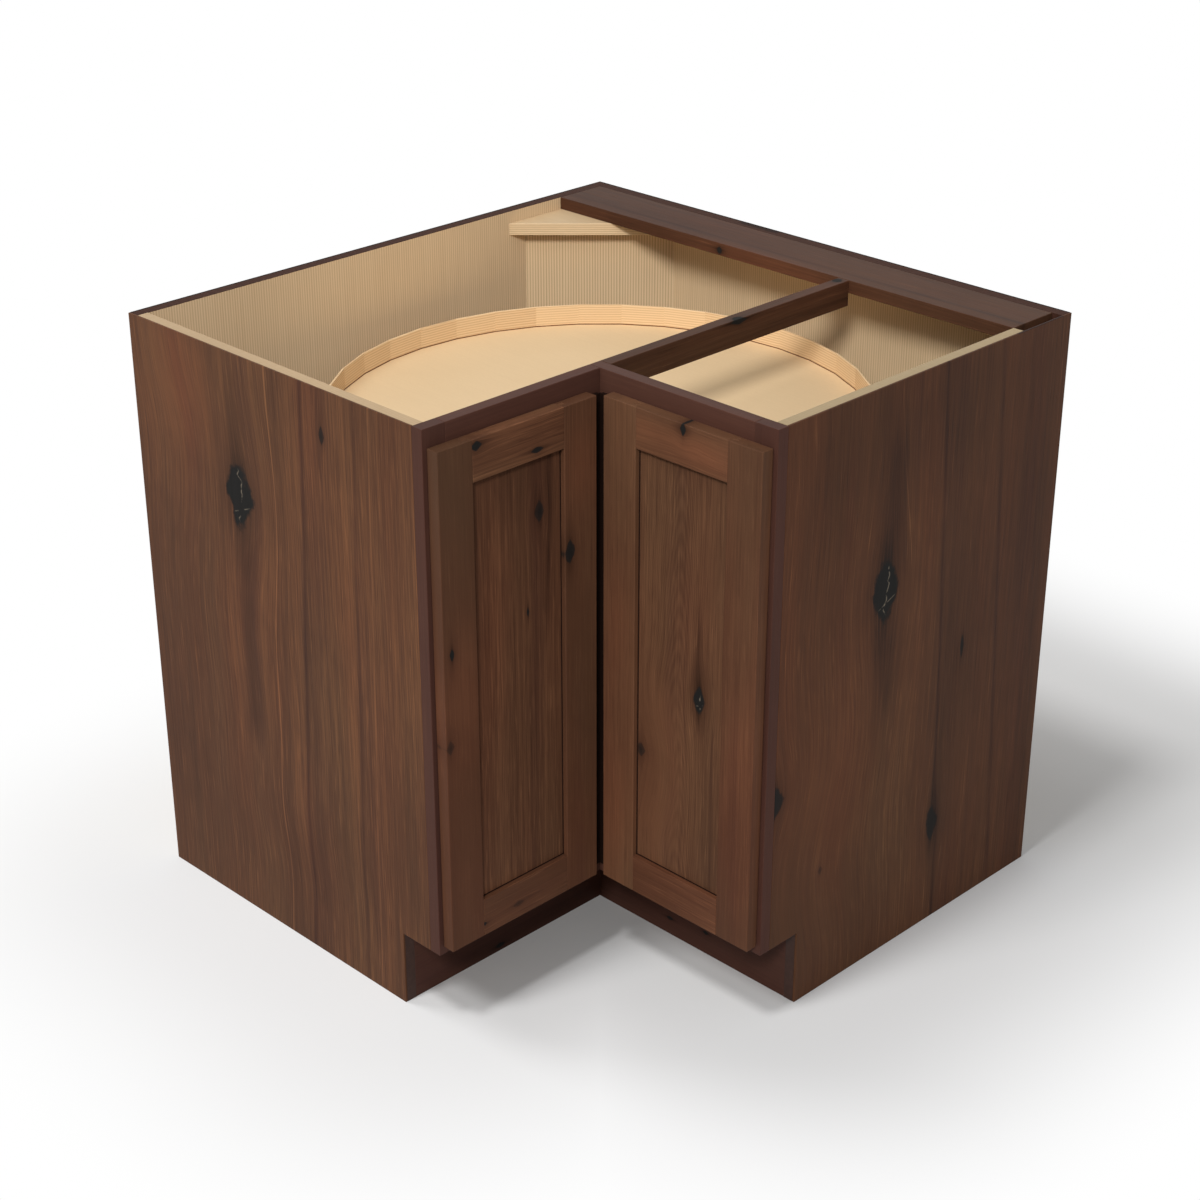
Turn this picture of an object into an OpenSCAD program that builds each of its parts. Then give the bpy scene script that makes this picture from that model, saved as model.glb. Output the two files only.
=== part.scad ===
// Corner base cabinet with a carousel: an L-shaped box without a worktop, two frame-and-panel
// doors that fold as a pair in the inner corner, and two kidney trays on a turning post.
// Origin: centre of the plan at floor level. The walls lie at -X and +Y, the doors face +X and -Y.
// The right leg is the left leg mirrored about the plan's diagonal, which swaps x with -y.

/* [Cabinet box] */
// Length of the cabinet along each wall
wall_side = 914.4; // [880:1:960]
// Depth of each leg, from the wall to the front of the face frame
leg_depth = 609.6; // [580:1:640]
// Height of the cabinet without a worktop
cab_h = 876.3; // [840:1:920]
// Thickness of the end panels' core
end_core_t = 15.875; // [12:0.1:19]
// Thickness of the stained outer skin on each end panel
end_skin_t = 3.175; // [1.5:0.1:5]
// Thickness of the two back panels
back_t = 19.05; // [12:0.1:22]
// Thickness of the diagonal panel across the rear corner
diag_t = 12.7; // [9:0.1:19]
// Length that the diagonal panel cuts off each inner wall
diag_leg = 165.6; // [140:1:190]

/* [Base] */
// Height of the toe space
toe_h = 114.3; // [95:1:120]
// Depth of the toe space, from the front of the face frame
toe_d = 76.2; // [60:1:90]
// Thickness of the toe boards
toe_t = 19.05; // [12:0.1:22]
// Thickness of the floor deck
deck_t = 19.05; // [15:0.1:22]
// Thickness of the two stringers that carry the deck
stringer_t = 19.05; // [15:0.1:22]
// Length of each deck cleat on the end panels
deck_cleat_len = 420; // [200:1:450]
// Height of the deck cleats
deck_cleat_h = 38.1; // [25:0.1:45]
// Thickness of the deck cleats
deck_cleat_t = 19.05; // [12:0.1:25]

/* [Top] */
// Width of the rear board
nailer_w = 88.9; // [70:0.1:110]
// Thickness of the rear board
nailer_t = 19.05; // [15:0.1:22]
// Height of the cross rail
cross_h = 38.1; // [30:0.1:50]
// Length of the corner cleat along each wall
cleat_leg = 200.6; // [190:0.1:230]
// Thickness of the corner cleat
cleat_t = 19.05; // [12:0.1:22]

/* [Face frame] */
// Thickness of the face frame
frame_t = 19.05; // [17:0.1:22]
// Width of the outer stiles
stile_w = 38.1; // [34:0.1:44]
// Height of the top rails
top_rail_h = 38.1; // [30:0.1:45]
// Height of the bottom rails
bottom_rail_h = 38.1; // [30:0.1:45]

/* [Doors] */
// Thickness of the doors' stiles and rails
door_t = 19.05; // [17:0.1:22]
// Gap between the doors' backs and the face frame
door_gap = 1.2; // [1:0.1:2]
// Face frame left bare beside each door's outer edge
side_reveal = 6.35; // [4:0.1:10]
// Face frame left bare above the doors
top_reveal = 25.4; // [15:0.1:32]
// Face frame left bare below the doors
bottom_reveal = 12.7; // [8:0.1:20]
// Distance from the inner corner of the face frame to each door's inner edge
corner_reveal = 27; // [25:0.1:32]
// Width of the doors' stiles
door_stile_w = 57.15; // [50:0.1:70]
// Height of the doors' rails
door_rail_w = 57.15; // [50:0.1:80]
// Thickness of the lip that closes the gap beside each door's inner edge
lip_t = 6; // [4:0.1:8]
// Distance from a door's top and bottom edge to its lip
lip_inset = 6; // [4:0.1:12]
// Thickness of the doors' panels
panel_t = 6.35; // [5:0.1:7]
// Depth from a door's face to its panel
panel_recess = 7.9; // [5:0.1:9]
// Depth of the groove that holds the panel
groove_d = 9.5; // [6:0.1:12]
// Clearance round the panel in its groove
panel_float = 1; // [0.5:0.1:2]

/* [Hinges] */
// Distance from a door's top and bottom edge to its hinges
hinge_inset = 100; // [90:1:160]
// Outer radius of a hinge cup
cup_r = 17.4; // [16:0.1:17.5]
// Depth of a hinge cup in the door
cup_depth = 11.5; // [10:0.1:12]
// Wall of a hinge cup
cup_wall = 1.4; // [1:0.1:1.6]
// Distance from the door's edge to a cup's centre
cup_edge = 21.5; // [21:0.1:22.5]
// Thickness of a cup's flange on the door's back
flange_t = 0.8; // [0.6:0.1:0.9]
// Half height of a cup's flange
flange_half = 28; // [26:1:32]
// Half height of an arm
arm_half = 6; // [5:0.1:7]
// Thickness of an arm
arm_t = 3; // [2:0.1:3.2]
// Thickness of an arm's base plate
plate_t = 2; // [1.6:0.1:2.4]
// Half height of a base plate
plate_half = 24; // [20:1:30]
// Depth of a base plate behind the face frame's front
plate_depth = 34; // [30:1:45]
// Thickness of the leaves that join the doors
leaf_t = 2; // [1.6:0.1:2]
// Length of a leaf on the door's back, past the door's inner edge
leaf_len = 36; // [30:1:45]
// Half height of a leaf
leaf_half = 30; // [25:1:40]
// Radius of a leaf's knuckle
knuckle_r = 5; // [4.5:0.1:5]
// Radius of the pin through the knuckles
pin_r = 2.5; // [2:0.1:3]
// Radius of the hinge screws' heads
hinge_screw_r = 4; // [3:0.1:5]
// Radius of the soft bumpers on the right door
bumper_r = 5; // [4:0.1:6]

/* [Carousel] */
// Radius of the trays over their rims
tray_r = 382; // [360:1:392]
// Clearance from the notch's two straight edges to the back of the face frame
notch_clear = 33.35; // [25:0.05:45]
// Radius of the trays' two lobes
lobe_r = 100; // [90:1:110]
// Radius of the notch's inner corner
notch_r = 60; // [40:1:70]
// Thickness of the tray boards
tray_t = 12.7; // [10:0.1:16]
// Height of the rims above the tray boards
rim_h = 31.75; // [20:0.1:40]
// Thickness of the rims
rim_t = 3.2; // [2.5:0.1:5]
// Height of the lower tray's floor above the deck
tray_lift = 136.45; // [110:0.05:180]
// Height of the upper tray's floor above the lower tray's floor
tray_pitch = 457.2; // [430:0.1:470]
// Facets of a full round of rim
rim_facets = 36; // [24:12:72]
// Outer radius of the turning post
post_r = 19.05; // [18:0.1:22]
// Wall of the turning post
post_wall = 1.6; // [1.5:0.1:2]
// Radius of the fixed spindle
spindle_r = 14; // [12:0.1:14.5]
// Height of the spindle above the deck
spindle_h = 430; // [380:1:500]
// Height of the bushes in the post
bush_h = 30; // [20:1:40]
// Radius of the floor flange
base_r = 75; // [65:1:90]
// Thickness of the floor flange
base_t = 5; // [4:0.1:8]
// Thickness of the thrust washer
washer_t = 3; // [2:0.1:5]
// Radius of the hubs' plates
hub_r = 70; // [60:1:80]
// Thickness of the hubs' plates
hub_t = 5; // [4:0.1:8]
// Height of the hubs' sleeves
sleeve_h = 30; // [20:1:45]
// Wall of the hubs' sleeves
sleeve_wall = 5; // [3.5:0.1:8]
// Radius of the cap on the post
cap_r = 26; // [24:0.1:32]
// Height of the cap above the upper tray
cap_h = 16; // [12:1:24]
// Thickness of the cap's top
cap_wall = 4; // [2:0.5:6]
// Radius of the shanks of the hub and flange screws
screw_r = 2.7; // [2:0.1:3]
// Radius of the heads of the hub and flange screws
screw_head_r = 5; // [4:0.1:6]
// Height of the heads of the hub and flange screws
screw_head_h = 2.5; // [2:0.1:4]

/* [Fits] */
// Radial clearance of a turning fit
turn_fit = 0.05; // [0.03:0.01:0.1]
// Gap between faces that move past each other
face_fit = 0.3; // [0.2:0.05:0.4]
// Radial clearance of a fixed fit
fixed_fit = 0.1; // [0.05:0.01:0.2]

/* [Hidden] */

$fn = 64;
// Overlap that makes a cut run clear through a face
over = 1;

stain = [0.36, 0.23, 0.17];
stain_dark = [0.27, 0.17, 0.13];
maple = [0.80, 0.68, 0.50];
tray_wood = [0.86, 0.74, 0.55];
steel = [0.70, 0.71, 0.72];
nylon = [0.88, 0.87, 0.82];

half = wall_side / 2;
frame_x = leg_depth - half;
frame_back_x = frame_x - frame_t;
end_t = end_core_t + end_skin_t;
wall_in = half - back_t;
end_in = half - end_t;
toe_x = frame_x - toe_d;
deck_top = toe_h + deck_t;
nailer_z = cab_h - nailer_t;
cleat_z = nailer_z - cleat_t;

door_x = frame_x + door_gap;
door_face_x = door_x + door_t;
door_out = half - side_reveal;
door_in = frame_x + corner_reveal;
door_z0 = toe_h + bottom_reveal;
door_z1 = cab_h - top_reveal;
panel_x = door_face_x - panel_recess - panel_t;
hinge_zs = [door_z0 + hinge_inset, door_z1 - hinge_inset];

stile_in = half - stile_w;
cup_y = door_out - cup_edge;
fold_x = door_x - leaf_t / 2;
// Where the left lip's lap clears the fold hinges' knuckles
lap_x = fold_x + (knuckle_r + 2 * face_fit) / sqrt(2);

notch_at = frame_back_x - notch_clear;
lower_tray_z = deck_top + tray_lift;
upper_tray_z = lower_tray_z + tray_pitch;
// Angle of the rim's round part before the notch is cut into one quarter of it
full_turn = 360;
tray_sweep = full_turn - 90;
post_in = post_r - post_wall;
washer_z = deck_top + base_t;
post_z = washer_z + washer_t + face_fit;
post_top = upper_tray_z + cap_h - cap_wall;

// The point at angle a on a circle about c
function on_circle(c, r, a) = [c[0] + r * cos(a), c[1] + r * sin(a)];
// Points on an arc about c, from angle a0 to a1 in n steps
function arc(c, r, a0, a1, n) = [for (i = [0:n]) on_circle(c, r, a0 + (a1 - a0) * i / n)];
// Outline of a kidney tray whose edge lies t inside the rim's outer face
function kidney(t) =
    let (r = tray_r - t, at = notch_at - t, lobe = lobe_r - t, inner = notch_r + t)
    let (lobe_at = notch_at - lobe_r, reach = sqrt(pow(tray_r - lobe_r, 2) - pow(lobe_at, 2)))
    let (turn = atan2(-lobe_at, reach), sweep = tray_sweep - 2 * turn)
    concat(
        arc([at + inner, -at - inner], inner, 180, 90, 6),
        arc([reach, -lobe_at], lobe, -90, turn, 10),
        arc([0, 0], r, turn, turn + sweep, round(sweep * rim_facets / full_turn)),
        arc([lobe_at, -reach], lobe, turn + sweep, full_turn, 10));

// A box from its lowest to its highest corner
module block(low, high) {
    translate(low) cube(high - low);
}

// Its children on the left leg, mirrored onto the right leg
module on_right() {
    mirror([1, 1, 0]) children();
}

// A pan-head screw: head above z = 0, shank below it
module screw(head_r, head_h, shank_r, shank_l) {
    cylinder(r = head_r, h = head_h);
    translate([0, 0, -shank_l]) cylinder(r = shank_r, h = shank_l);
}

// ---- Cabinet box ----

// End panel plate of the left leg between two planes across its thickness, with its toe notch
module end_plate(y0, y1, x0) {
    difference() {
        block([x0, y0, 0], [frame_back_x, y1, cab_h]);
        block([toe_x, y0 - over, -over], [frame_back_x + over, y1 + over, toe_h]);
    }
}

module left_end_core() {
    color(maple) end_plate(-half + end_skin_t, -end_in, -wall_in);
}

// The right core is cut away behind the rear board's end
module right_end_core() {
    color(maple) difference() {
        on_right() end_plate(-half + end_skin_t, -end_in, -wall_in);
        block([end_in - over, wall_in - nailer_w, nailer_z],
              [half, wall_in + over, cab_h + over]);
    }
}

module left_end_skin() {
    color(stain) end_plate(-half, -half + end_skin_t, -half);
}

module right_end_skin() {
    color(stain) on_right() end_plate(-half, -half + end_skin_t, -half);
}

module left_back_panel() {
    color(maple) block([-half, -half + end_skin_t, 0], [-wall_in, wall_in, cab_h]);
}

module right_back_panel() {
    color(maple) block([-half, wall_in, 0], [half - end_skin_t, half, cab_h]);
}

// Upright panel across the rear corner, on the deck and under the corner cleat
module diagonal_back_panel() {
    spread = diag_t * sqrt(2);
    color(maple) translate([0, 0, deck_top]) linear_extrude(cleat_z - deck_top) polygon([
        [-wall_in, wall_in - diag_leg], [-wall_in + diag_leg, wall_in],
        [-wall_in + diag_leg - spread, wall_in], [-wall_in, wall_in - diag_leg + spread]]);
}

// ---- Base ----

module floor_deck() {
    color(maple) translate([0, 0, toe_h]) linear_extrude(deck_t) polygon([
        [-wall_in, -end_in], [frame_back_x, -end_in], [frame_back_x, -frame_back_x],
        [end_in, -frame_back_x], [end_in, wall_in], [-wall_in, wall_in]]);
}

module left_toe_board() {
    color(stain_dark) block([toe_x - toe_t, -end_in, 0], [toe_x, -toe_x + toe_t, toe_h]);
}

module right_toe_board() {
    color(stain_dark) block([toe_x, -toe_x, 0], [end_in, -toe_x + toe_t, toe_h]);
}

// Board on edge under the deck, from the back panel to the toe board
module stringer() {
    block([-wall_in, -toe_x, 0], [toe_x - toe_t, -toe_x + stringer_t, toe_h]);
}

module left_stringer() {
    color(maple) stringer();
}

module right_stringer() {
    color(maple) on_right() translate([0, -stringer_t, 0]) stringer();
}

module deck_cleats() {
    color(maple) for (side = [0, 1]) mirror([side, side, 0])
        block([toe_x - toe_t - deck_cleat_len, -end_in, toe_h - deck_cleat_h],
              [toe_x - toe_t, -end_in + deck_cleat_t, toe_h]);
}

// ---- Top ----

module corner_cleat() {
    color(maple) translate([0, 0, cleat_z]) linear_extrude(cleat_t) polygon([
        [-wall_in, wall_in - cleat_leg], [-wall_in + cleat_leg, wall_in], [-wall_in, wall_in]]);
}

module rear_nailer() {
    color(stain) block([-wall_in, wall_in - nailer_w, nailer_z], [end_in, wall_in, cab_h]);
}

module cross_rail() {
    color(stain_dark) block([frame_back_x, -frame_back_x, cab_h - cross_h],
                            [frame_x, wall_in - nailer_w, cab_h]);
}

// ---- Face frame ----

module frame_stile() {
    color(stain_dark) block([frame_back_x, -half, toe_h], [frame_x, -stile_in, cab_h]);
}

// Rail of the left leg between two heights; it stops on the right leg's rail
module left_rail(z0, z1) {
    color(stain_dark) block([frame_back_x, -stile_in, z0], [frame_x, -frame_x, z1]);
}

// Rail of the right leg, which runs through the inner corner
module right_rail(z0, z1) {
    color(stain_dark) block([frame_back_x, -frame_x, z0], [stile_in, -frame_back_x, z1]);
}

module left_frame_stile() {
    frame_stile();
}

module right_frame_stile() {
    on_right() frame_stile();
}

module left_top_rail() {
    left_rail(cab_h - top_rail_h, cab_h);
}

module right_top_rail() {
    right_rail(cab_h - top_rail_h, cab_h);
}

module left_bottom_rail() {
    left_rail(toe_h, toe_h + bottom_rail_h);
}

module right_bottom_rail() {
    right_rail(toe_h, toe_h + bottom_rail_h);
}

// ---- Doors, drawn on the left leg ----

// Groove for the panel: y and z span the groove, low and high are its corners
module groove(y0, z0, y1, z1) {
    block([panel_x, y0, z0], [panel_x + panel_t, y1, z1]);
}

// Outer stile, at the left leg's outer edge
module outer_stile() {
    edge = -door_out + door_stile_w;
    difference() {
        block([door_x, -door_out, door_z0], [door_face_x, edge, door_z1]);
        groove(edge - groove_d, door_z0 - over, edge + over, door_z1 + over);
    }
}

// Inner stile, beside the cabinet's inner corner; its lip reaches the other door's lip, and
// laps its end where lapped is true
module inner_stile(lapped = false) {
    edge = -door_in - door_stile_w;
    lip_end = -door_x - lip_t - face_fit;
    difference() {
        union() {
            block([door_x, edge, door_z0], [door_face_x, -door_in, door_z1]);
            block([door_x, -door_in - over, door_z0 + lip_inset],
                  [door_x + lip_t, lip_end, door_z1 - lip_inset]);
            if (lapped) block([lap_x, lip_end - over, door_z0 + lip_inset],
                              [door_x + lip_t, -lap_x, door_z1 - lip_inset]);
        }
        groove(edge - over, door_z0 - over, edge + groove_d, door_z1 + over);
    }
}

// Rail with its tongues, from z0 to z1; the panel's groove lies along edge_z, towards side
module door_rail(z0, z1, edge_z, side) {
    y0 = -door_out + door_stile_w;
    y1 = -door_in - door_stile_w;
    difference() {
        union() {
            block([door_x, y0, z0], [door_face_x, y1, z1]);
            groove(y0 - groove_d, z0, y1 + groove_d, z1);
        }
        groove(y0 - groove_d - over, min(edge_z, edge_z + side * groove_d) - (side < 0 ? 0 : over),
               y1 + groove_d + over, max(edge_z, edge_z + side * groove_d) + (side < 0 ? over : 0));
    }
}

module top_door_rail() {
    door_rail(door_z1 - door_rail_w, door_z1, door_z1 - door_rail_w, 1);
}

module bottom_door_rail() {
    door_rail(door_z0, door_z0 + door_rail_w, door_z0 + door_rail_w, -1);
}

module door_panel() {
    reach = groove_d - panel_float;
    groove(-door_out + door_stile_w - reach, door_z0 + door_rail_w - reach,
           -door_in - door_stile_w + reach, door_z1 - door_rail_w + reach);
}

// The outer stile of the left door is bored for the hinge cups
module door_a_hinge_stile() {
    color(stain) difference() {
        outer_stile();
        for (z = hinge_zs) translate([door_x - over, -cup_y, z]) rotate([0, 90, 0])
            cylinder(r = cup_r + fixed_fit, h = cup_depth + over);
    }
}

module door_a_inner_stile() {
    color(stain) inner_stile(lapped = true);
}

module door_a_top_rail() {
    color(stain) top_door_rail();
}

module door_a_bottom_rail() {
    color(stain) bottom_door_rail();
}

module door_a_panel() {
    color(stain_dark) door_panel();
}

module door_b_outer_stile() {
    color(stain) on_right() outer_stile();
}

module door_b_inner_stile() {
    color(stain) on_right() inner_stile();
}

module door_b_top_rail() {
    color(stain) on_right() top_door_rail();
}

module door_b_bottom_rail() {
    color(stain) on_right() bottom_door_rail();
}

module door_b_panel() {
    color(stain_dark) on_right() door_panel();
}

// Soft bumpers on the back of the right door, over the right face frame stile
module door_bumpers() {
    color("dimgray") on_right()
        for (z = [door_z0 + door_rail_w, door_z1 - door_rail_w])
            translate([door_x, -(stile_in + door_out) / 2, z]) rotate([0, -90, 0])
                cylinder(r = bumper_r, h = door_gap - face_fit);
}

// ---- Hinges of the left door ----

// Cup in the door's back, with its flange
module hinge_cups() {
    screw_z = (cup_r + flange_half) / 2;
    color(steel) for (z = hinge_zs) translate([door_x, -cup_y, z]) rotate([0, 90, 0])
        difference() {
            union() {
                cylinder(r = cup_r, h = cup_depth - fixed_fit);
                translate([0, 0, -flange_t]) cylinder(r = cup_r, h = flange_t);
                translate([-flange_half, -arm_half, -flange_t])
                    cube([2 * flange_half, 2 * arm_half, flange_t]);
            }
            translate([0, 0, -flange_t - over])
                cylinder(r = cup_r - cup_wall, h = cup_depth + flange_t + over - cup_wall);
            for (side = [-1, 1]) translate([side * screw_z, 0, -flange_t - over])
                cylinder(r = hinge_screw_r / 2, h = flange_t + 2 * over);
        }
}

// Two flush screws in each cup's flange
module hinge_cup_screws() {
    screw_z = (cup_r + flange_half) / 2;
    color(steel) for (z = hinge_zs, side = [-1, 1])
        translate([door_x - flange_t, -cup_y, z + side * screw_z]) rotate([0, 90, 0])
            cylinder(r = hinge_screw_r / 2 - fixed_fit, h = flange_t);
}

// Base plates on the inner edge of the face frame's left stile
module hinge_plates() {
    color(steel) for (z = hinge_zs)
        block([frame_x - plate_depth, -stile_in, z - plate_half],
              [frame_x - arm_t, -stile_in + plate_t, z + plate_half]);
}

module hinge_plate_screws() {
    color(steel) for (z = hinge_zs, side = [-1, 1])
        translate([frame_x - frame_t / 2, -stile_in + plate_t,
                   z + side * (plate_half + arm_half) / 2])
            rotate([-90, 0, 0]) cylinder(r = hinge_screw_r, h = arm_t / 2);
}

// Arms from the base plates into the mouths of the cups
module hinge_arms() {
    seat = -stile_in + plate_t;
    neck = -stile_in + face_fit;
    step_x = frame_x - arm_t + face_fit;
    tip_x = door_x + cup_depth / 2;
    color(steel) for (z = hinge_zs) translate([0, 0, z - arm_half]) {
        block([frame_x - plate_depth, seat, 0], [step_x + arm_t, seat + arm_t, 2 * arm_half]);
        block([step_x, neck, 0], [tip_x, neck + arm_t, 2 * arm_half]);
    }
}

// ---- Fold hinges between the doors ----

// Leaf on the back of the left door; spans lists the knuckles' lowest and highest z
module fold_leaf(spans) {
    difference() {
        union() {
            block([door_x - leaf_t, -door_in - leaf_len, -leaf_half],
                  [door_x, -fold_x - knuckle_r - face_fit, leaf_half]);
            for (s = spans) {
                translate([fold_x, -fold_x, s[0]]) cylinder(r = knuckle_r, h = s[1] - s[0]);
                block([door_x - leaf_t, -fold_x - knuckle_r - 2 * face_fit, s[0]],
                      [door_x, -fold_x, s[1]]);
            }
        }
        translate([fold_x, -fold_x, -leaf_half - over])
            cylinder(r = pin_r + turn_fit, h = 2 * (leaf_half + over));
    }
}

knuckle_end = leaf_half / 3;
spans_a = [[-leaf_half, -knuckle_end], [knuckle_end, leaf_half]];
spans_b = [[-knuckle_end + face_fit, knuckle_end - face_fit]];

module fold_leaves_a() {
    color(steel) for (z = hinge_zs) translate([0, 0, z]) fold_leaf(spans_a);
}

module fold_leaves_b() {
    color(steel) on_right() for (z = hinge_zs) translate([0, 0, z]) fold_leaf(spans_b);
}

// Screw heads on a leaf, set over the door's inner stile
module fold_screws() {
    for (z = hinge_zs, side = [-1, 1])
        translate([door_x - leaf_t, -door_in - leaf_len / 2, z + side * leaf_half / 2])
            rotate([0, -90, 0]) cylinder(r = hinge_screw_r, h = leaf_t / 2);
}

module fold_screws_a() {
    color(steel) fold_screws();
}

module fold_screws_b() {
    color(steel) on_right() fold_screws();
}

// Pins through the knuckles, with a flat head on top
module fold_pins() {
    color(steel) for (z = hinge_zs) translate([fold_x, -fold_x, z]) {
        translate([0, 0, -leaf_half]) cylinder(r = pin_r, h = 2 * leaf_half);
        translate([0, 0, leaf_half]) cylinder(r = knuckle_r, h = leaf_t / 2);
    }
}

// ---- Carousel ----

screw_ring_base = (base_r + post_r) / 2;
screw_ring_hub = (hub_r + post_r + sleeve_wall) / 2;
screw_angles = [45, 135, 225, 315];

module floor_flange() {
    color(steel) translate([0, 0, deck_top]) difference() {
        cylinder(r = base_r, h = base_t);
        translate([0, 0, -over]) cylinder(r = spindle_r + fixed_fit, h = base_t + 2 * over);
        for (a = screw_angles) rotate(a) translate([screw_ring_base, 0, -over])
            cylinder(r = screw_r + fixed_fit, h = base_t + 2 * over);
    }
}

module flange_screws() {
    color(steel) for (a = screw_angles) rotate(a)
        translate([screw_ring_base, 0, deck_top + base_t])
            screw(screw_head_r, screw_head_h, screw_r, base_t);
}

module spindle() {
    color(steel) translate([0, 0, deck_top]) cylinder(r = spindle_r, h = spindle_h);
}

module thrust_washer() {
    color(nylon) translate([0, 0, washer_z]) difference() {
        cylinder(r = post_r + washer_t, h = washer_t);
        translate([0, 0, -over])
            cylinder(r = spindle_r + fixed_fit, h = washer_t + 2 * over);
    }
}

module post() {
    color(steel) translate([0, 0, post_z]) difference() {
        cylinder(r = post_r, h = post_top - post_z);
        translate([0, 0, -over]) cylinder(r = post_in, h = post_top - post_z + 2 * over);
    }
}

// Bush in the post, turning on the spindle
module bush(z) {
    color(nylon) translate([0, 0, z]) difference() {
        cylinder(r = post_in - fixed_fit, h = bush_h);
        translate([0, 0, -over]) cylinder(r = spindle_r + turn_fit, h = bush_h + 2 * over);
    }
}

module lower_bush() {
    bush(post_z);
}

module upper_bush() {
    bush(deck_top + spindle_h - bush_h);
}

// Hub under a tray board: a plate with a sleeve below it
module hub(tray_top) {
    plate_z = tray_top - tray_t - hub_t;
    bore_r = post_r + fixed_fit;
    color(steel) difference() {
        union() {
            translate([0, 0, plate_z]) cylinder(r = hub_r, h = hub_t);
            translate([0, 0, plate_z - sleeve_h])
                cylinder(r = bore_r + sleeve_wall, h = sleeve_h + hub_t);
        }
        translate([0, 0, plate_z - sleeve_h - over])
            cylinder(r = bore_r, h = sleeve_h + hub_t + 2 * over);
        for (a = screw_angles) rotate(a) translate([screw_ring_hub, 0, plate_z - over])
            cylinder(r = screw_r + fixed_fit, h = hub_t + 2 * over);
    }
}

module lower_hub() {
    hub(lower_tray_z);
}

module upper_hub() {
    hub(upper_tray_z);
}

// Screws up through the hubs' plates, heads below
module hub_screws() {
    color(steel) for (top = [lower_tray_z, upper_tray_z], a = screw_angles) rotate(a)
        translate([screw_ring_hub, 0, top - tray_t - hub_t]) mirror([0, 0, 1])
            screw(screw_head_r, screw_head_h, screw_r, hub_t);
}

module tray_board(top) {
    color(tray_wood) translate([0, 0, top - tray_t]) difference() {
        linear_extrude(tray_t) polygon(kidney(rim_t));
        translate([0, 0, -over]) cylinder(r = post_r + fixed_fit, h = tray_t + 2 * over);
    }
}

// Bent rim round a tray board
module tray_rim(top) {
    color(tray_wood) translate([0, 0, top - tray_t]) linear_extrude(tray_t + rim_h)
        difference() {
            polygon(kidney(0));
            polygon(kidney(rim_t));
        }
}

module lower_tray() {
    tray_board(lower_tray_z);
}

module upper_tray() {
    tray_board(upper_tray_z);
}

module lower_rim() {
    tray_rim(lower_tray_z);
}

module upper_rim() {
    tray_rim(upper_tray_z);
}

// Cap over the post's top, standing on the upper tray
module post_cap() {
    color(nylon) translate([0, 0, upper_tray_z]) difference() {
        cylinder(r = cap_r, h = cap_h);
        translate([0, 0, -over])
            cylinder(r = post_r + fixed_fit, h = cap_h - cap_wall + over);
    }
}

left_end_core();
right_end_core();
left_end_skin();
right_end_skin();
left_back_panel();
right_back_panel();
diagonal_back_panel();
floor_deck();
left_toe_board();
right_toe_board();
left_stringer();
right_stringer();
deck_cleats();
corner_cleat();
rear_nailer();
cross_rail();
left_frame_stile();
left_top_rail();
left_bottom_rail();
right_frame_stile();
right_top_rail();
right_bottom_rail();
hinge_plates();
hinge_plate_screws();
hinge_arms();
floor_flange();
flange_screws();
spindle();
thrust_washer();
door_a_hinge_stile();
door_a_inner_stile();
door_a_top_rail();
door_a_bottom_rail();
door_a_panel();
hinge_cups();
hinge_cup_screws();
fold_leaves_a();
fold_screws_a();
fold_pins();
door_b_inner_stile();
door_b_outer_stile();
door_b_top_rail();
door_b_bottom_rail();
door_b_panel();
fold_leaves_b();
fold_screws_b();
door_bumpers();
post();
lower_bush();
upper_bush();
lower_hub();
upper_hub();
hub_screws();
lower_tray();
lower_rim();
upper_tray();
upper_rim();
post_cap();
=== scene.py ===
"""Looks of the corner carousel cabinet: its woods, boards, trays, hinges and studio."""

import logging
import math
from dataclasses import dataclass
from enum import Enum
from typing import Any, Mapping, Sequence

import bmesh
import bpy
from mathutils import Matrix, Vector


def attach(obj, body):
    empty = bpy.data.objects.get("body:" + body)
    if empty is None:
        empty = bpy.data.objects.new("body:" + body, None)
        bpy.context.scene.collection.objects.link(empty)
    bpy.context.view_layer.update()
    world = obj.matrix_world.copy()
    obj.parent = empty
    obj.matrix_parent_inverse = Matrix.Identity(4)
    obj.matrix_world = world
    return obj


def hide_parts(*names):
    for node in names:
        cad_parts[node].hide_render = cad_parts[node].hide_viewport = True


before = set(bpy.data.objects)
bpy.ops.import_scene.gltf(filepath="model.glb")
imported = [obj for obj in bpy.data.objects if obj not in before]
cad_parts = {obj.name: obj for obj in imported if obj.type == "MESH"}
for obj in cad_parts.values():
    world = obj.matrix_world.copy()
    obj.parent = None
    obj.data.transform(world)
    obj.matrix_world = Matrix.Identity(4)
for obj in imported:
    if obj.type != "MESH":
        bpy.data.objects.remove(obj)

LOG = logging.getLogger("cabinet")
Colour = tuple[float, float, float, float]

# A bound farther out than this, in metres, bounds nothing
BEYOND = 8.0


def srgb(red: int, green: int, blue: int) -> Colour:
    """Turns display values of 0 to 255 into a linear colour.

    Args:
        red: Red display value.
        green: Green display value.
        blue: Blue display value.

    Returns:
        The linear colour with full alpha.
    """
    parts = [v / 255 for v in (red, green, blue)]
    linear = [v / 12.92 if v <= 0.04045 else ((v + 0.055) / 1.055) ** 2.4 for v in parts]
    return (linear[0], linear[1], linear[2], 1.0)


class Axis(Enum):
    """One of the three directions of the cabinet's frame."""

    X = 0
    Y = 1
    Z = 2


# ---- Node trees ----


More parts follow.
